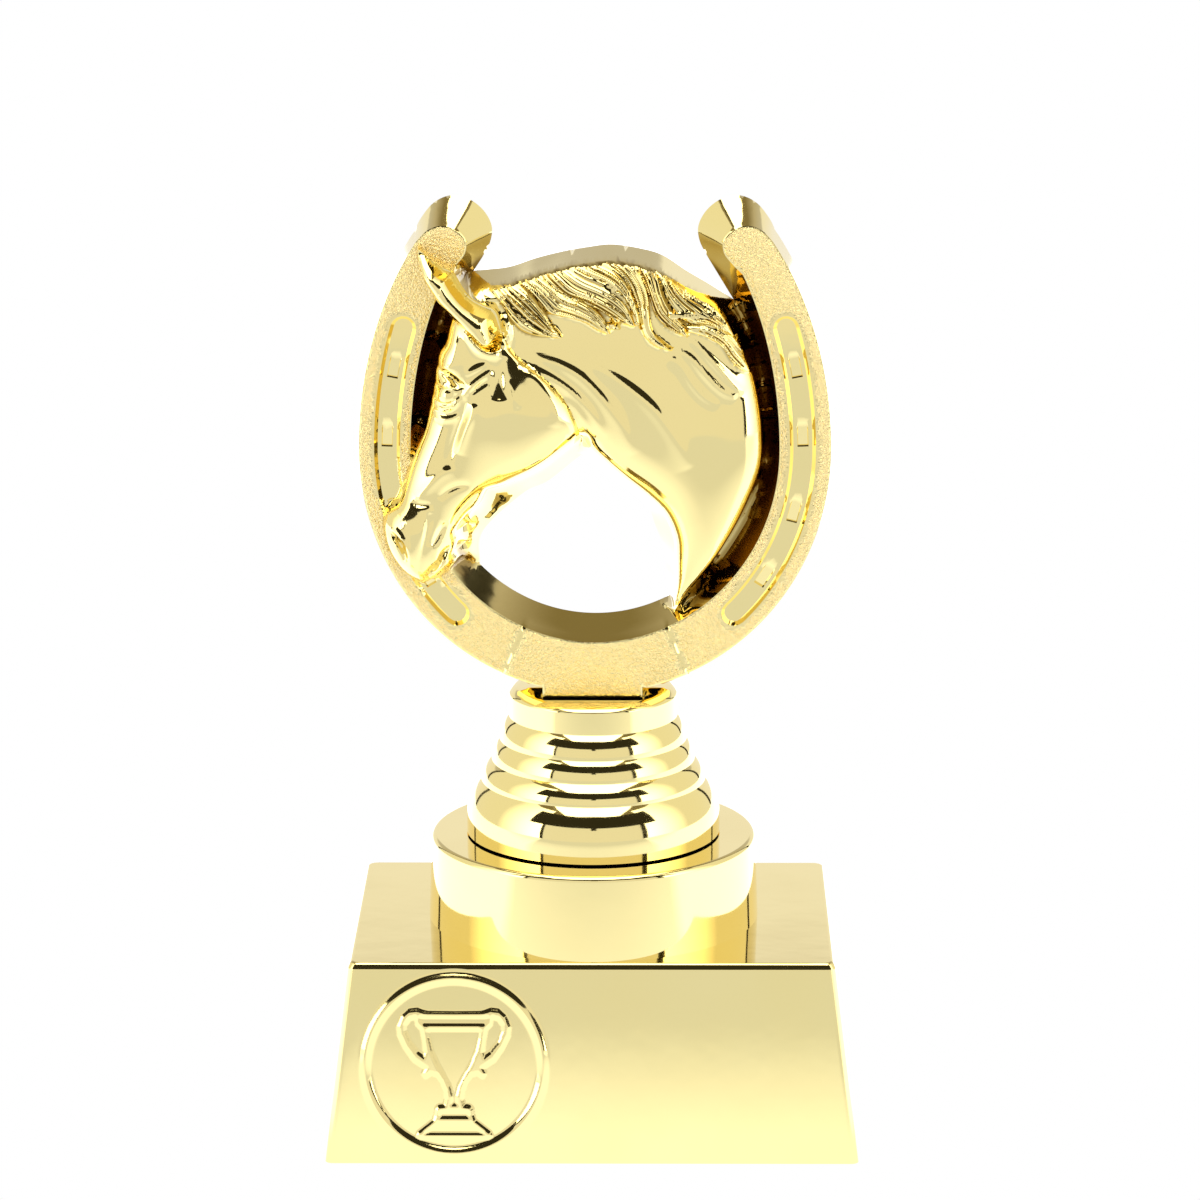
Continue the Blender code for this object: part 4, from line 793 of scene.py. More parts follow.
def horse_height(x, z, loops, depth_to_edge, fine):
    """Height of the horse: neck and head as round forms, with masses, folds, eye and mane."""
    gap = signed_distance(x, z, loops["horse"])
    to_window = np.maximum(signed_distance(x, z, loops["window"]), 0.0)
    throat = 1.0 - ease(*THROAT_BESIDE_WINDOW, to_window)
    throat *= ease(*ABOVE_TOE, z) * ease(*RIGHT_OF_CHIN, x)
    edge = EDGE_HEIGHT + (THROAT_HEIGHT - EDGE_HEIGHT) * throat
    edge -= BACK_DROP * ease(*BACK_FROM, x) * (1.0 - ease(*BACK_UP_TO, z)) * (1.0 - throat)
    within = gap < 0.0
    height = edge.copy()
    px = x[within]
    pz = z[within]
    body = dome(swell(px, pz, loops["horse"]), NECK_ROUND)
    relief = (EDGE_HEIGHT + NECK_RISE - edge[within]) * body
    in_head = inside(px, pz, loops["head"])
    head = dome(swell(px[in_head], pz[in_head], loops["head"]), HEAD_ROUND)
    relief[in_head] += HEAD_RISE * head
    soft = ease(0.0, 1.6, -gap[within])
    detail = np.zeros(px.shape)
    for (cx, cz), half_width, half_height, lift in MASSES:
        reach = ((px - cx) / half_width) ** 2 + ((pz - cz) / half_height) ** 2
        detail += lift * np.exp(-reach ** 1.5)
    for points, left, right, lift in FOLDS + LIDS:
        detail += fold(px, pz, points, left, right, lift)
    ball = 1.0 - ((px - EYE[0]) / EYE_HALF[0]) ** 2 - ((pz - EYE[1]) / EYE_HALF[1]) ** 2
    detail += EYE_LIFT * np.sqrt(np.clip(ball, 0.0, 1.0))
    height[within] += relief + detail * soft + mane_height(px, pz, fine) * ease(0.0, 0.5, -gap[within])
    flare = np.where(x < -12.0, FACE_FLARE, BACK_FLARE)
    flare = flare + (THROAT_FLARE - flare) * throat
    flare = np.minimum(flare, np.maximum(gap, 0.0) + depth_to_edge)
    wall = 1.0 - np.maximum(gap, 0.0) / np.maximum(flare, 1e-6)
    return np.where(gap <= 0, height, edge * np.clip(wall, 0.0, 1.0))


def with_ear(x, z, loops, height):
    """Set the ear into the head: a leaf with a round near rim, a hollow and a thin far rim."""
    gap = signed_distance(x, z, loops["ear"])
    near, _, _ = distance_to_line(x, z, spline(EAR_NEAR, 0.4))
    far, _, _ = distance_to_line(x, z, spline(EAR_FAR, 0.4))
    across = near / np.maximum(near + far, 1e-6)
    stations = np.array([p[0] for p in EAR_PROFILE])
    levels = np.array([p[1] for p in EAR_PROFILE])
    level = np.zeros(x.shape)
    for shift in (-0.04, -0.02, 0.0, 0.02, 0.04):
        level += np.interp(across + shift, stations, levels) / 5.0
    full = ease(0.3, 3.5, near + far)
    ear = EAR_TIP_HEIGHT + (level - EAR_TIP_HEIGHT) * full
    rim = EAR_TIP_HEIGHT + (levels[0] - EAR_TIP_HEIGHT) * full
    wall = np.maximum(height, rim * np.clip(1.0 - gap / 0.5, 0.0, 1.0))
    return np.where(gap < -0.02, ear, wall)


def figure_height(x, z, loops, fine=True):
    """Height of the whole front above the parting plane, in drawn millimetres."""
    depth = np.minimum(-signed_distance(x, z, loops["silhouette"]), signed_distance(x, z, loops["window"]))
    depth = np.maximum(depth, 0.0)
    shoe = shoe_height(x, z, loops)
    horse = horse_height(x, z, loops, depth, fine)
    height = np.maximum(shoe, horse)
    near = np.maximum(VALLEY_REACH - np.abs(shoe - horse), 0.0) / VALLEY_REACH
    height += VALLEY_REACH / 4.0 * near ** 2 * ease(0.0, 1.0, depth)
    height = with_ear(x, z, loops, height)
    height = np.maximum(height, np.minimum(WEB, 1.5 * depth))
    return np.where(depth < 1e-6, 0.0, height)


def offset_row(loop, offset):
    """Points beside a closed outline, outward for a positive offset, where the row doesn't fold."""
    points = np.array(loop, dtype=float)
    ahead = np.roll(points, -1, axis=0) - np.roll(points, 1, axis=0)
    normal = np.stack((ahead[:, 1], -ahead[:, 0]), axis=1) / np.maximum(np.hypot(*ahead.T), 1e-9)[:, None]
    area = np.sum(points[:, 0] * np.roll(points[:, 1], -1) - np.roll(points[:, 0], -1) * points[:, 1])
    row = points + normal * offset * (1.0 if area > 0 else -1.0)
    gap = signed_distance(row[:, 0], row[:, 1], loop) * (1.0 if offset > 0 else -1.0)
    return row[gap > 0.9 * abs(offset)]


def staggered_grid(spacing):
    """A triangular grid over the whole figure."""
    reach_x = SHOE_OUTER_PARTING[0] + 1.0
    rows = int(DRAWN_HEIGHT / (0.866 * spacing)) + 1
    columns = int(2 * reach_x / spacing) + 2
    row, column = np.meshgrid(np.arange(rows), np.arange(columns), indexing="ij")
    x = -reach_x + spacing * (column + 0.5 * (row % 2))
    z = 0.866 * spacing * row
    return x.ravel(), z.ravel()


def in_any(x, z, loops):
    """True where a point lies within one of several outlines."""
    result = np.zeros(x.shape, dtype=bool)
    for loop in loops:
        result |= inside(x, z, loop)
    return result


def zone_of(x, z, loops, locks):
    """The zone that sets the spacing: 0 shoe, 1 neck and the walls beside it, 2 head and ear, 3 mane."""
    zone = np.zeros(x.shape, dtype=int)
    gap = signed_distance(x, z, loops["horse"])
    zone[(gap < VALLEY_WIDTH) & ~inside(x, z, loops["shoe_face"])] = 1
    zone[gap < 0.0] = 1
    zone[in_any(x, z, (loops["head"], loops["ear"]))] = 2
    zone[in_any(x, z, locks)] = 3
    return zone


def thinned(points, clearance):
    """The points in their order, without those too near an earlier one."""
    cells = {}
    kept = []
    for px, pz in points:
        cx = int(px // clearance)
        cz = int(pz // clearance)
        near = [q for ax in (cx - 1, cx, cx + 1) for az in (cz - 1, cz, cz + 1) for q in cells.get((ax, az), ())]
        if all((px - qx) ** 2 + (pz - qz) ** 2 >= clearance ** 2 for qx, qz in near):
            cells.setdefault((cx, cz), []).append((px, pz))
            kept.append((px, pz))
    return kept


def clear_of(x, z, others, clearance):
    """True where a point keeps a distance from other points, tested through a grid of cells."""
    cells = {}
    for px, pz in others:
        cells.setdefault((int(px // clearance), int(pz // clearance)), []).append((px, pz))
    result = np.ones(x.shape, dtype=bool)
    for i, (px, pz) in enumerate(zip(x, z)):
        cx = int(px // clearance)
        cz = int(pz // clearance)
        for ax in (cx - 1, cx, cx + 1):
            for az in (cz - 1, cz, cz + 1):
                for qx, qz in cells.get((ax, az), ()):
                    if (px - qx) ** 2 + (pz - qz) ** 2 < clearance ** 2:
                        result[i] = False
    return result


def triangulate(loops, locks, fine):
    """Triangles over the figure's outline that follow the inner outlines and the seams."""
    points = []
    edges = []

    def add_chain(chain, closed):
        start = len(points)
        points.extend(chain)
        count = len(chain)
        edges.extend((start + i, start + (i + 1) % count) for i in range(count if closed else count - 1))

    for name, loop in loops.items():
        if name not in ("shoe_parting", "head"):
            add_chain(loop, True)
    for frame in pocket_frames():
        for grow in (-0.06, 0.06):
            add_chain(pocket_loop(frame, grow), True)
    for side in (-1, 1):
        for inset in (-0.5 * SEAM_ROLL, 0.5 * SEAM_ROLL):
            add_chain(spline(seam_line(side, inset), EDGE_SPACING), False)
    boundary = loops["silhouette"] + loops["window"]
    rows = [offset_row(loops[name], offset) for name, offsets in ROW_OFFSETS for offset in offsets]
    rows = np.array(thinned([tuple(p) for p in np.vstack(rows)], ROW_CLEARANCE))
    keep = inside(rows[:, 0], rows[:, 1], loops["silhouette"]) & ~inside(rows[:, 0], rows[:, 1], loops["window"])
    keep &= clear_of(rows[:, 0], rows[:, 1], boundary, 0.25)
    keep &= clear_of(rows[:, 0], rows[:, 1], points, 0.1)
    rows = [tuple(p) for p in rows[keep]]
    if fine:
        strands = mane_points()
        in_ear = inside(np.array([p[0] for p in strands]), np.array([p[1] for p in strands]), loops["ear"])
        strands = ear_points() + [p for p, hidden in zip(strands, in_ear) if not hidden]
        strands = np.array(thinned(strands, STRAND_CLEARANCE))
        keep = in_any(strands[:, 0], strands[:, 1], (loops["horse"], loops["ear"]))
        keep &= clear_of(strands[:, 0], strands[:, 1], points + rows, STRAND_CLEARANCE)
        rows += [tuple(p) for p in strands[keep]]
    fixed = points + rows
    grids = []
    for zone, spacing in enumerate((SHOE_SPACING, NECK_SPACING, HEAD_SPACING, MANE_SPACING)):
        spacing *= 1.0 if fine else BACK_SCALE
        x, z = staggered_grid(spacing)
        keep = inside(x, z, loops["silhouette"]) & ~inside(x, z, loops["window"])
        x, z = x[keep], z[keep]
        keep = zone_of(x, z, loops, locks) == zone
        x, z = x[keep], z[keep]
        keep = clear_of(x, z, fixed, 0.5 * spacing)
        grids += list(zip(x[keep], z[keep]))
    points.extend(rows)
    points.extend(grids)
    result = delaunay_2d_cdt([Vector(p) for p in points], edges, [], 0, 1e-5)
    coordinates = np.array([tuple(v) for v in result[0]])
    corners = np.array([list(face) for face in result[2]])
    middle = coordinates[corners].mean(axis=1)
    keep = inside(middle[:, 0], middle[:, 1], loops["silhouette"])
    keep &= ~inside(middle[:, 0], middle[:, 1], loops["window"])
    return coordinates, corners[keep]


def grain_share(x, z, loops):
    """1 on the shoe's grained face, 0 on everything bright."""
    grain = ease(0.05, 0.3, -signed_distance(x, z, loops["shoe_face"]))
    grain *= ease(0.0, 0.15, signed_distance(x, z, loops["horse"]))
    grain *= ease(0.0, 0.15, signed_distance(x, z, loops["ear"]))
    for name in ("fuller_rim_left", "fuller_rim_right"):
        grain *= ease(0.0, 0.2, signed_distance(x, z, loops[name]))
    for side in (-1, 1):
        gap, _, _ = distance_to_line(x, z, seam_line(side))
        grain *= ease(0.15, 0.4, gap)
    return grain


def painted_shade_share(x, z, loops):
    """Painted shade: 1 deep between the horse and the shoe, where the gold is darkened to stand in for the shade
    there.
    """
    to_horse = signed_distance(x, z, loops["horse"])
    share = ease(0.0, 0.35, to_horse) * (1.0 - ease(2.6, 4.0, to_horse))
    share *= ease(0.0, 0.45, signed_distance(x, z, loops["shoe_face"]))
    share *= ease(-0.9, 0.1, -signed_distance(x, z, loops["shoe_parting"]))
    return share * ease(*ABOVE_TOE, z) * ease(0.0, 0.3, signed_distance(x, z, loops["ear"]))


def make_figure(material):
    """The horseshoe and horse's head as one closed fine mesh."""
    low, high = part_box("figure")
    scale = (high[2] - low[2]) / DRAWN_HEIGHT
    foot = low[2]
    loops = figure_loops(EDGE_SPACING)
    locks = lock_loops(LOCK_EDGE_SPACING)
    vertices = []
    faces = []
    grain = []
    painted_shade = []
    shared = {}
    for side, fine in ((-1, True), (1, False)):
        coordinates, corners = triangulate(loops, locks, fine)
        x = coordinates[:, 0]
        z = coordinates[:, 1]
        heights = figure_height(x, z, loops, fine)
        share = grain_share(x, z, loops)
        # painted shade: how far the gold is darkened in the gap between horse and shoe, kept per vertex as a mesh
        # attribute
        dark = painted_shade_share(x, z, loops)
        if fine:
            # painted shade in the mane: strand grooves darkened by their depth, added to the same painted-shade
            # attribute
            groove = (mane_height(x, z, False) - mane_height(x, z, True)) / GROOVE_FULL
            covered = inside(x, z, loops["horse"]) & ~inside(x, z, loops["ear"])
            dark = np.maximum(dark, np.where(covered, np.clip(groove, 0.0, GROOVE_SHADE), 0.0))
        index_of = {}
        for index in np.unique(corners):
            up = 0.0 if z[index] < PAD_BAND + 1e-4 else z[index]
            key = (round(x[index], 3), round(up, 3))
            if heights[index] == 0.0 and key in shared:
                index_of[index] = shared[key]
                continue
            index_of[index] = len(vertices)
            vertices.append((x[index] * scale, side * heights[index] * scale, foot + up * scale))
            grain.append(float(share[index]))
            painted_shade.append(float(dark[index]))
            if heights[index] == 0.0:
                shared[key] = index_of[index]
        for a, b, c in corners:
            triangle = (index_of[a], index_of[b], index_of[c])
            faces.append(triangle if side < 0 else tuple(reversed(triangle)))
    mesh = bpy.data.meshes.new("horse_and_shoe")
    mesh.from_pydata(vertices, [], faces)
    for label, values in (("grain", grain), ("painted_shade", painted_shade)):
        attribute = mesh.attributes.new(label, 'FLOAT', 'POINT')
        attribute.data.foreach_set("value", values)
    mesh.materials.append(material)
    figure = add_object("horse_and_shoe", mesh)
    mesh.shade_smooth()
    mesh.set_sharp_from_angle(angle=FIGURE_SHARP)
    for edge in mesh.edges:
        if all(mesh.vertices[i].co.y == 0.0 for i in edge.vertices):
            edge.use_edge_sharp = True
    return figure


def loft(rings, name):
    """A closed mesh through rings of equal count, first ring lowest."""
    bm = bmesh.new()
    loops = [[bm.verts.new(point) for point in ring] for ring in rings]
    for lower, upper in zip(loops, loops[1:]):
        for i in range(len(lower)):
            j = (i + 1) % len(lower)
            bm.faces.new((lower[i], lower[j], upper[j], upper[i]))
    bm.faces.new(list(reversed(loops[0])))
    bm.faces.new(loops[-1])
    bmesh.ops.recalc_face_normals(bm, faces=bm.faces)
    mesh = bpy.data.meshes.new(name)
    bm.to_mesh(mesh)
    bm.free()
    return mesh


def turned(profile, name):
    """A solid of revolution about Z through (radius, height) points in metres, lowest first."""
    angles = [2.0 * math.pi * i / ROUND_STEPS for i in range(ROUND_STEPS)]
    rings = [[(radius * math.cos(a), radius * math.sin(a), height) for a in angles] for radius, height in profile]
    return loft(rings, name)


def add_object(name, mesh):
    """Link a mesh as an object of the given name."""
    item = bpy.data.objects.new(name, mesh)
    bpy.context.scene.collection.objects.link(item)
    return item


def combine(target, cutter, operation):
    """Apply an exact Boolean and remove the second object."""
    modifier = target.modifiers.new("combine", 'BOOLEAN')
    modifier.operation = operation
    modifier.solver = 'EXACT'
    modifier.object = cutter
    graph = bpy.context.evaluated_depsgraph_get()
    mesh = bpy.data.meshes.new_from_object(target.evaluated_get(graph))
    target.modifiers.clear()
    target.data = mesh
    bpy.data.objects.remove(cutter, do_unlink=True)


def rounded_rectangle(width, depth, radius, height, corner_steps=8):
    """Points of a rectangle with round corners at one height, counter-clockwise."""
    points = []
    for quarter, (sx, sy) in enumerate(((1, 1), (-1, 1), (-1, -1), (1, -1))):
        cx = sx * (width / 2 - radius)
        cy = sy * (depth / 2 - radius)
        for i in range(corner_steps + 1):
            angle = math.radians(90.0 * quarter + 90.0 * i / corner_steps)
            points.append((cx + radius * math.cos(angle), cy + radius * math.sin(angle), height))
    return points


def frustum_rings(width, depth, levels, radius):
    """Rounded rectangles that shrink with the draft; levels are (height, extra inset)."""
    rings = []
    for height, inset in levels:
        shrink = 2.0 * (height * math.tan(BASE_DRAFT) + inset)
        rings.append(rounded_rectangle(width - shrink, depth - shrink, radius, height))
    return rings


def platform_profile(base_height, inset=0.0, foot=0.0, top_round=PLATFORM_ROUND * MM):
    """The platform's side from its foot up, with a rounded top edge."""
    top = base_height + PLATFORM_HEIGHT * MM - inset
    radius = PLATFORM_RADIUS * MM - inset
    profile = [(radius + (top - foot) * math.tan(PLATFORM_DRAFT), foot)]
    steps = 8
    for i in range(steps + 1):
        angle = math.radians(90.0 * i / steps)
        profile.append((radius - top_round * (1.0 - math.cos(angle)), top - top_round * (1.0 - math.sin(angle))))
    return profile


def both_halves(points):
    """A closed outline from its right half."""
    return list(points) + [(-x, up) for x, up in reversed(points[1:-1])]


def slope_across(distance):
    """1 within an outline and 0 outside it, with an even slope between."""
    return np.clip(0.5 - distance / (2.0 * CUP_EDGE), 0.0, 1.0)


def emblem_height(x, up):
    """Height of the emblem over the front face: a bead, a disc and a cup with raised borders."""
    radius = np.hypot(x, up)
    ring = radius - (EMBLEM_RADIUS - BEAD_HALF_WIDTH)
    round_top = np.sqrt(ring ** 2 + BEAD_ROUND ** 2) - BEAD_ROUND
    flank = 1.0 - round_top / (BEAD_HALF_WIDTH - 0.05)
    height = BEAD_HEIGHT * np.where(flank > BEAD_FOOT, flank, BEAD_FOOT * np.exp((flank - BEAD_FOOT) / BEAD_FOOT))
    height -= DISC_SUNK * (1.0 - ease(*DISC_EDGE, ring))
    height *= 1.0 - ease(EMBLEM_RADIUS + BEAD_FADE[0], EMBLEM_RADIUS + BEAD_FADE[1], radius)
    cup = CUP_LIFT * slope_across(signed_distance(x, up, both_halves(CUP_OUTER)))
    sunk = slope_across(signed_distance(np.abs(x), up, list(CUP_HANDLE_HOLE)))
    for outline, depth in ((CUP_BOWL, 1.0), (CUP_PLATE, 0.8), (CUP_FOOT, 0.8), (CUP_RIM, 0.8)):
        sunk = np.maximum(sunk, depth * slope_across(signed_distance(x, up, both_halves(outline))))
    return height + cup - CUP_SUNK * sunk


def face_point(x, up, out, depth):
    """A point beside the drafted front face, millimetres to metres: x along, up its slope, out from it."""
    y = -depth / 2 + (up * math.sin(BASE_DRAFT) - out * math.cos(BASE_DRAFT)) * MM
    return (x * MM, y, (up * math.cos(BASE_DRAFT) + out * math.sin(BASE_DRAFT)) * MM)


def emblem_patch(mesh, depth):
    """Replace the plinth's flat front face by one that carries the emblem."""
    bm = bmesh.new()
    bm.from_mesh(mesh)
    bm.normal_update()
    front = [f for f in bm.faces if f.normal.y < -0.9 and f.calc_center_median().y < 0]
    face = max(front, key=lambda f: f.calc_area())
    slope = math.cos(BASE_DRAFT) * MM
    points = [(v.co.x / MM, v.co.z / slope) for v in face.verts]
    corner_verts = list(face.verts)
    count = len(points)
    edges = [(i, (i + 1) % count) for i in range(count)]
    reach = EMBLEM_RADIUS + EMBLEM_MARGIN
    steps = int(2.0 * math.pi * reach / (2.0 * EMBLEM_SPACING))
    for i in range(steps):
        angle = 2.0 * math.pi * i / steps
        points.append((-EMBLEM_LEFT + reach * math.cos(angle), EMBLEM_UP + reach * math.sin(angle)))
        edges.append((count + i, count + (i + 1) % steps))
    n = int(2 * reach / EMBLEM_SPACING) + 1
    row, column = np.meshgrid(np.arange(n), np.arange(n), indexing="ij")
    x = -reach + EMBLEM_SPACING * (column + 0.5 * (row % 2))
    up = -reach + 0.866 * EMBLEM_SPACING * row * 1.16
    keep = np.hypot(x, up) < reach - 0.5 * EMBLEM_SPACING
    points += [(-EMBLEM_LEFT + a, EMBLEM_UP + b) for a, b in zip(x[keep], up[keep])]
    result = delaunay_2d_cdt([Vector(p) for p in points], edges, [], 1, 1e-6)
    coordinates = np.array([tuple(v) for v in result[0]])
    heights = emblem_height(coordinates[:, 0] + EMBLEM_LEFT, coordinates[:, 1] - EMBLEM_UP)
    known = {(round(v.co.x / MM, 3), round(v.co.z / slope, 3)): v for v in corner_verts}
    bmesh.ops.delete(bm, geom=[face], context='FACES_ONLY')
    verts = []
    for (px, pz), height in zip(coordinates, heights):
        old = known.get((round(px, 3), round(pz, 3)))
        verts.append(old if old else bm.verts.new(face_point(px, pz, height, depth)))
    for corners in result[2]:
        bm.faces.new([verts[i] for i in corners])
    bmesh.ops.recalc_face_normals(bm, faces=bm.faces)
    bm.to_mesh(mesh)
    bm.free()


def make_base(material):
    """The hollow plinth with its platform and emblem."""
    low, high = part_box("base")
    width = high[0] - low[0]
    depth = 2.0 * high[1]
    height = high[2] - PLATFORM_HEIGHT * MM
    edge = BASE_EDGE_ROUND * MM
    bevel_foot = edge * (1.0 - math.sin(BASE_BEVEL)) + BASE_BEVEL_HEIGHT * MM
    lean = math.tan(BASE_BEVEL) - math.tan(BASE_DRAFT)
    levels = [(0.0, 0.0), (height - bevel_foot - 0.04 * MM, 0.0),
              (height - bevel_foot + 0.04 * MM, 0.04 * MM * lean)]
    inset = BASE_BEVEL_HEIGHT * MM * lean
    steps = 7
    for i in range(steps + 1):
        angle = BASE_BEVEL + (math.radians(90.0) - BASE_BEVEL) * i / steps
        rise = edge * (math.sin(angle) - math.sin(BASE_BEVEL))
        run = edge * (math.cos(BASE_BEVEL) - math.cos(angle))
        levels.append((height - edge * (1.0 - math.sin(angle)), inset + run - rise * math.tan(BASE_DRAFT)))
    base = add_object("plinth", loft(frustum_rings(width, depth, levels, BASE_CORNER_RADIUS * MM), "plinth"))
    combine(base, add_object("platform", turned(platform_profile(height, foot=height / 2), "platform")), 'UNION')
    wall = BASE_WALL * MM
    inner = frustum_rings(width - 2 * wall, depth - 2 * wall, ((-wall, 0.0), (height - wall, 0.0)),
                          BASE_CORNER_RADIUS * MM / 2)
    combine(base, add_object("cavity", loft(inner, "cavity")), 'DIFFERENCE')
    hollow = platform_profile(height, inset=wall, foot=height / 2, top_round=PLATFORM_ROUND * MM / 2)
    combine(base, add_object("hollow", turned(hollow, "hollow")), 'DIFFERENCE')
    emblem_patch(base.data, depth)
    base.data.materials.clear()
    base.data.materials.append(material)
    base.data.shade_smooth()
    base.data.set_sharp_from_angle(angle=ROUND_SHARP)
    weighted = base.modifiers.new("weighted", 'WEIGHTED_NORMAL')
    weighted.keep_sharp = True
    weighted.weight = 100
    return base


def riser_profile(foot, top):
    """Radius and height down the riser in metres: chamfered neck, then four swelling rings."""
    neck_foot = top - RISER_NECK_HEIGHT * MM
    profile = [(0.93 * RISER_TOP_RADIUS, top), (RISER_TOP_RADIUS, top - 0.05 * MM),
               (RISER_NECK_RADIUS - 0.12, top - (RISER_CHAMFER - 0.08) * MM),
               (RISER_NECK_RADIUS, top - (RISER_CHAMFER + 0.12) * MM),
               (RISER_NECK_RADIUS, top - (RISER_CHAMFER + 0.25) * MM),
               (RISER_NECK_RADIUS, neck_foot + 0.1 * MM), (RISER_NECK_RADIUS, neck_foot)]
    profile = [(radius * MM, height) for radius, height in profile]
    upper_radius = RISER_NECK_RADIUS * MM
    upper = neck_foot
    full = 1.0 - math.cos(RING_SWEEP)
    for i, radius in enumerate(RISER_RING_RADII):
        radius *= MM
        last = i == len(RISER_RING_HEIGHTS)
        height = upper - foot if last else RISER_RING_HEIGHTS[i] * MM
        swelling = RING_LAST_SWELL * height if last else height
        steps = 14
        for k in range(1, steps + 1):
            angle = RING_SWEEP * (1.0 - k / steps)
            out = 1.0 - (1.0 - math.cos(angle)) / full
            down = 1.0 - math.sin(angle) / math.sin(RING_SWEEP)
            profile.append((upper_radius + (radius - upper_radius) * out, upper - swelling * down))
        if last:
            profile += [(radius, upper - 1.05 * swelling), (radius, upper - height)]
        upper_radius = radius
        upper -= height
    return list(reversed(profile))


def make_riser(material):
    """The ringed stem."""
    low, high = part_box("riser")
    riser = add_object("ringed_riser", turned(riser_profile(low[2], high[2]), "ringed_riser"))
    riser.data.materials.append(material)
    riser.data.shade_smooth()
    riser.data.set_sharp_from_angle(angle=ROUND_SHARP)
    return riser


def wired(tree, kind, inputs=None, **settings):
    """A new node; each input is a number, a colour or the output that feeds it."""
    node = tree.nodes.new("ShaderNode" + kind)
    for label, value in settings.items():
        setattr(node, label, value)
    for socket, value in (inputs or {}).items():
        if isinstance(value, bpy.types.NodeSocket):
            tree.links.new(value, node.inputs[socket])
        else:
            node.inputs[socket].default_value = value
    return node


def noise(tree, place, kind):
    """A noise of the given scale, detail and roughness."""
    scale, detail, roughness = kind
    inputs = {"Vector": place, "Scale": scale, "Detail": detail, "Roughness": roughness}
    return wired(tree, "TexNoise", inputs).outputs["Fac"]


def ranged(tree, value, before, after):
    """A value carried from one range to another and held at its ends."""
    inputs = {"Value": value, "From Min": before[0], "From Max": before[1], "To Min": after[0], "To Max": after[1]}
    return wired(tree, "MapRange", inputs).outputs["Result"]


def blend(tree, factor, first, second, kind='RGBA'):
    """A mix of two colours or, for the kind FLOAT, of two numbers."""
    return wired(tree, "Mix", {"Factor": factor, "A": first, "B": second}, data_type=kind).outputs["Result"]


def axes_of(tree, coordinates):
    """X, Y and Z of the given kind of texture coordinates."""
    place = wired(tree, "TexCoord").outputs[coordinates]
    return wired(tree, "SeparateXYZ", {"Vector": place}).outputs


def by_camera(tree, output, mirrored, seen):
    """End a tree in one shader for mirrors and another for what the camera sees straight on."""
    direct = wired(tree, "LightPath").outputs["Is Camera Ray"]
    mix = wired(tree, "MixShader", {"Fac": direct, 1: mirrored, 2: seen})
    tree.links.new(mix.outputs["Shader"], tree.nodes[output].inputs["Surface"])


def gold_material(name, grained=False):
    """Metallised plastic: mirror-bright pale gold, faintly cloudy and wavy; grained, and darkened by painted shade,
    where asked.
    """
    material = bpy.data.materials.new(name)
    material.use_nodes = True
    tree = material.node_tree
    place = wired(tree, "TexCoord").outputs["Object"]
    cloud = noise(tree, place, CLOUDS)
    colour = blend(tree, cloud, GOLD, WARM_GOLD)
    roughness = ranged(tree, cloud, CLOUD_RANGE, ROUGHNESS_RANGE)
    waves = {"Height": noise(tree, place, WAVES), "Strength": WAVE_STRENGTH, "Distance": WAVE_DEPTH}
    normal = wired(tree, "Bump", waves).outputs["Normal"]
    if grained:
        grain = wired(tree, "Attribute", attribute_name="grain").outputs["Fac"]
        # painted shade: the gold darkens towards the painted-shade colour where the attribute says, then the grained
        # face takes the grained gold
        painted_shade = wired(tree, "Attribute", attribute_name="painted_shade").outputs["Fac"]
        colour = blend(tree, grain, blend(tree, painted_shade, colour, PAINTED_SHADE_GOLD), GRAINED_GOLD)
        roughness = blend(tree, grain, roughness, GRAIN_ROUGHNESS, 'FLOAT')
        pits = {"Height": noise(tree, place, PITS), "Strength": grain, "Distance": PIT_DEPTH, "Normal": normal}
        normal = wired(tree, "Bump", pits).outputs["Normal"]
    shader = tree.nodes["Principled BSDF"]
    shader.inputs["Metallic"].default_value = 1.0
    for socket, value in (("Base Color", colour), ("Roughness", roughness), ("Normal", normal)):
        tree.links.new(value, shader.inputs[socket])
    return material


def bare_material(name):
    """A material with nothing but its output, and its node tree."""
    material = bpy.data.materials.new(name)
    material.use_nodes = True
    tree = material.node_tree
    tree.nodes.remove(tree.nodes["Principled BSDF"])
    return material, tree


def emission_material(name, colour, strength):
    """A plain glowing sheet."""
    material, tree = bare_material(name)
    glow = wired(tree, "Emission", {"Color": colour, "Strength": strength})
    tree.links.new(glow.outputs["Emission"], tree.nodes["Material Output"].inputs["Surface"])
    return material


def fading_material(name, levels):
    """A white glowing sheet that fades from the front towards the back."""
    material = emission_material(name, WHITE, levels[0])
    tree = material.node_tree
    level = ranged(tree, axes_of(tree, "Object")["Y"], SIDE_FADE, levels)
    tree.links.new(level, tree.nodes["Emission"].inputs["Strength"])
    return material


def curved_screen(name, azimuths, elevations, radius, material):
    """A screen around the object, given by its azimuths from the front (+ to the right) and elevations."""
    vertices = []
    for elevation in np.radians(np.linspace(*elevations, SCREEN_STEPS + 1)):
        flat = radius * math.cos(elevation)
        height = TENT_MIDDLE + radius * math.sin(elevation)
        for azimuth in np.radians(np.linspace(*azimuths, SCREEN_STEPS + 1)):
            vertices.append((flat * math.sin(azimuth), -flat * math.cos(azimuth), height))
    row = SCREEN_STEPS + 1
    starts = [k * row + i for k in range(SCREEN_STEPS) for i in range(SCREEN_STEPS)]
    add_screen(name, vertices, [(a, a + 1, a + row + 1, a + row) for a in starts], material)


def flat_screen(name, half_width, reach, height, material):
    """A level sheet above the object."""
    near, far = reach
    corners = ((-half_width, near), (half_width, near), (half_width, far), (-half_width, far))
    add_screen(name, [(x, y, height) for x, y in corners], [(0, 1, 2, 3)], material)


def add_screen(name, vertices, faces, material):
    """A sheet of the stage that lights the object and that the camera doesn't see."""
    mesh = bpy.data.meshes.new(name)
    mesh.from_pydata(vertices, [], faces)
    mesh.materials.append(material)
    screen = add_object(name, mesh)
    screen.visible_camera = False


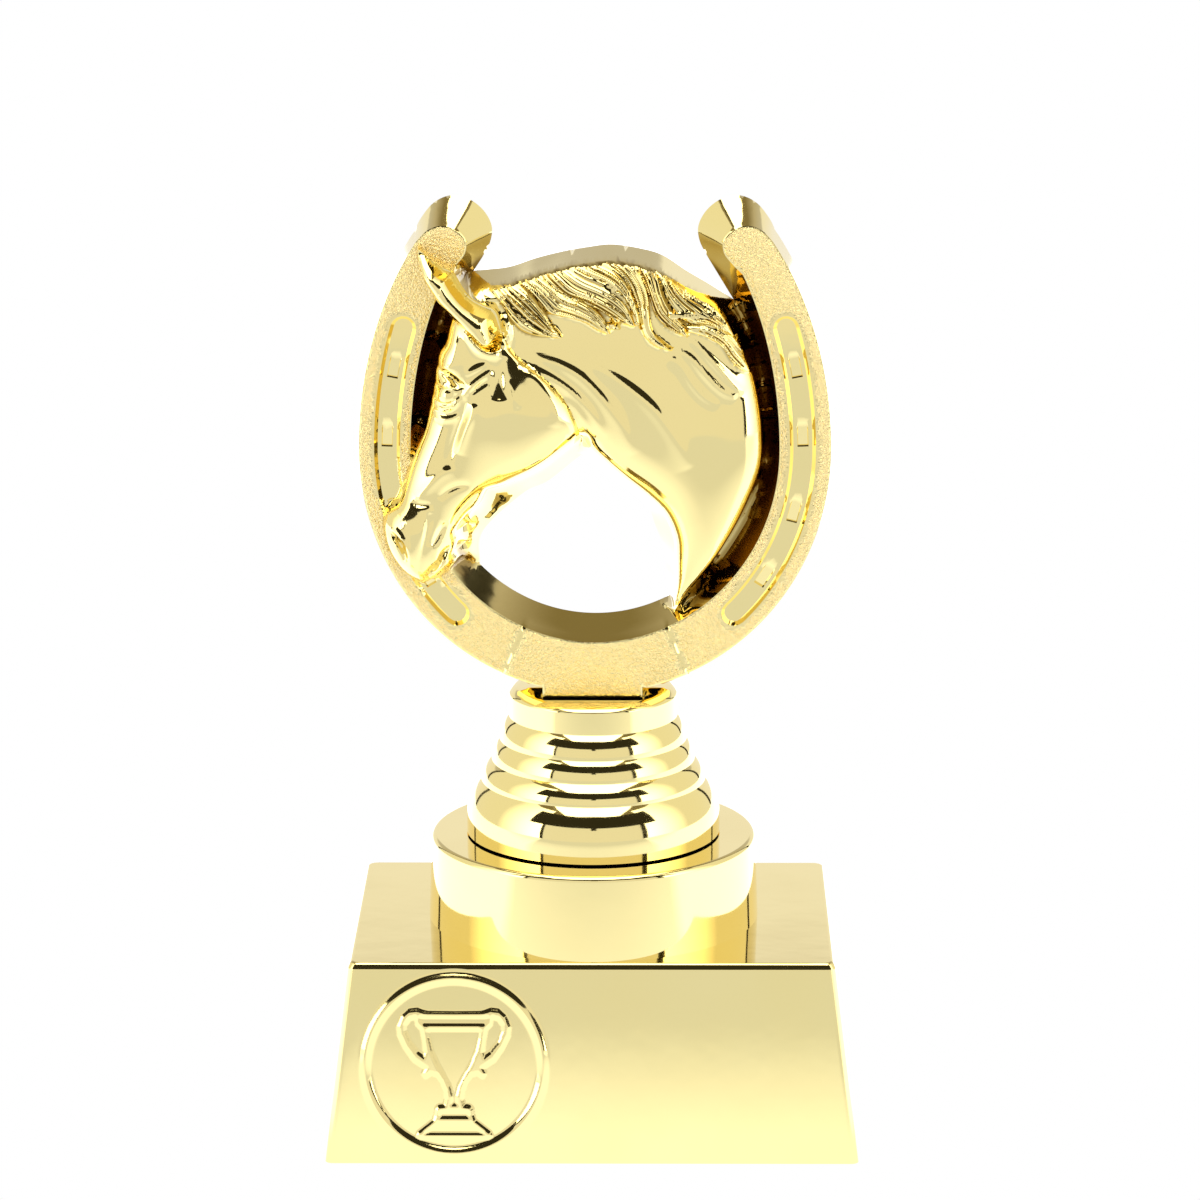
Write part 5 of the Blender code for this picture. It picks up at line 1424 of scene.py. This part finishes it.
def floor_material():
    """White to the camera; as a mirror sees it, pale in front and bright at the sides."""
    material, tree = bare_material("white_floor")
    axes = axes_of(tree, "Object")
    aside = wired(tree, "Math", {0: axes["X"]}, operation='ABSOLUTE').outputs["Value"]
    wedge = wired(tree, "Math", {0: axes["Y"], 1: FLOOR_WEDGE, 2: aside}, operation='MULTIPLY_ADD')
    level = ranged(tree, wedge.outputs["Value"], FLOOR_SIDE_START, (FLOOR_FRONT_LEVEL, FLOOR_SIDE_LEVEL))
    close = ranged(tree, axes["Y"], FLOOR_CLOSE, (0.0, FLOOR_CLOSE_GAIN))
    total = wired(tree, "Math", {0: level, 1: close}, operation='ADD').outputs["Value"]
    mirrored_glow = wired(tree, "Emission", {"Color": FLOOR_TINT, "Strength": total})
    seen = wired(tree, "Emission")
    by_camera(tree, "Material Output", mirrored_glow.outputs["Emission"], seen.outputs["Emission"])
    return material


def make_studio():
    """A white floor and a soft tent: side panels, an overhead panel, a front card, and dark gaps between."""
    bpy.ops.mesh.primitive_plane_add(size=6.0)
    floor = bpy.context.object
    floor.name = "floor"
    floor.data.materials.append(floor_material())

    soft = fading_material("panel_side", SIDE_LEVELS)
    for name, azimuths in SIDE_PANELS:
        curved_screen(name, azimuths, SIDE_ELEVATIONS, TENT_RADIUS, soft)
    flat_screen("panel_top", TOP_HALF_WIDTH, TOP_REACH, TOP_HEIGHT, emission_material("panel_white", WHITE, TOP_LEVEL))
    curved_screen("card_front", *CARD_FRONT, emission_material("card_front", CARD_COLOUR, 1.0))
    dark = emission_material("dark_gap", GAP_COLOUR, GAP_LEVEL)
    for name, azimuths, elevations, radius in GAPS:
        curved_screen(name, azimuths, elevations, radius, dark)


def make_world():
    """White to the camera; as a mirror sees it, darker the higher it looks."""
    world = bpy.data.worlds.new("studio")
    bpy.context.scene.world = world
    world.use_nodes = True
    tree = world.node_tree
    falling = wired(tree, "ValToRGB", {"Fac": axes_of(tree, "Generated")["Z"]})
    ramp = falling.color_ramp
    while len(ramp.elements) < len(BACKDROP_LEVELS):
        ramp.elements.new(1.0)
    for element, (height, level) in zip(ramp.elements, BACKDROP_LEVELS):
        element.position = height
        element.color = level + (1.0,)
    background = tree.nodes["Background"]
    tree.links.new(falling.outputs["Color"], background.inputs["Color"])
    seen = wired(tree, "Background", {"Color": WHITE})
    by_camera(tree, "World Output", background.outputs["Background"], seen.outputs["Background"])


def make_camera():
    """The photograph's camera: a long lens from the front, a little above."""
    turn = Matrix.Rotation(CAMERA_YAW, 3, 'Z').transposed()
    forward = Vector((0.0, math.cos(CAMERA_PITCH), -math.sin(CAMERA_PITCH)))
    up = Vector((0.0, math.sin(CAMERA_PITCH), math.cos(CAMERA_PITCH)))
    right = Vector((1.0, 0.0, 0.0))
    c = math.cos(CAMERA_ROLL)
    s = math.sin(CAMERA_ROLL)
    picture_right = turn @ (c * right - s * up)
    picture_up = turn @ (s * right + c * up)
    place = turn @ (Vector((AIM_RIGHT, 0.0, 0.0)) - CAMERA_DISTANCE * forward) + Vector((0.0, 0.0, AIM_UP))
    back = turn @ (-forward)
    matrix = Matrix((picture_right, picture_up, back)).transposed().to_4x4()
    matrix.translation = place
    data = bpy.data.cameras.new("camera")
    data.sensor_width = SENSOR
    data.lens = FOCAL_PIXELS / FRAME_PIXELS * SENSOR
    data.clip_start = 0.01
    camera = bpy.data.objects.new("camera", data)
    camera.matrix_world = matrix
    bpy.context.scene.collection.objects.link(camera)
    bpy.context.scene.camera = camera


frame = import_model()
bpy.context.scene.view_settings.view_transform = 'Standard'
make_camera()
make_studio()
make_world()
for piece, node, slot in ((make_base(gold_material("plated_base")), "base", "base_gold"),
                          (make_riser(gold_material("plated_riser")), "riser", "riser_gold"),
                          (make_figure(gold_material("plated_figure", grained=True)), "figure", "figure_gold")):
    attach(piece, "root")
    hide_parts(node)
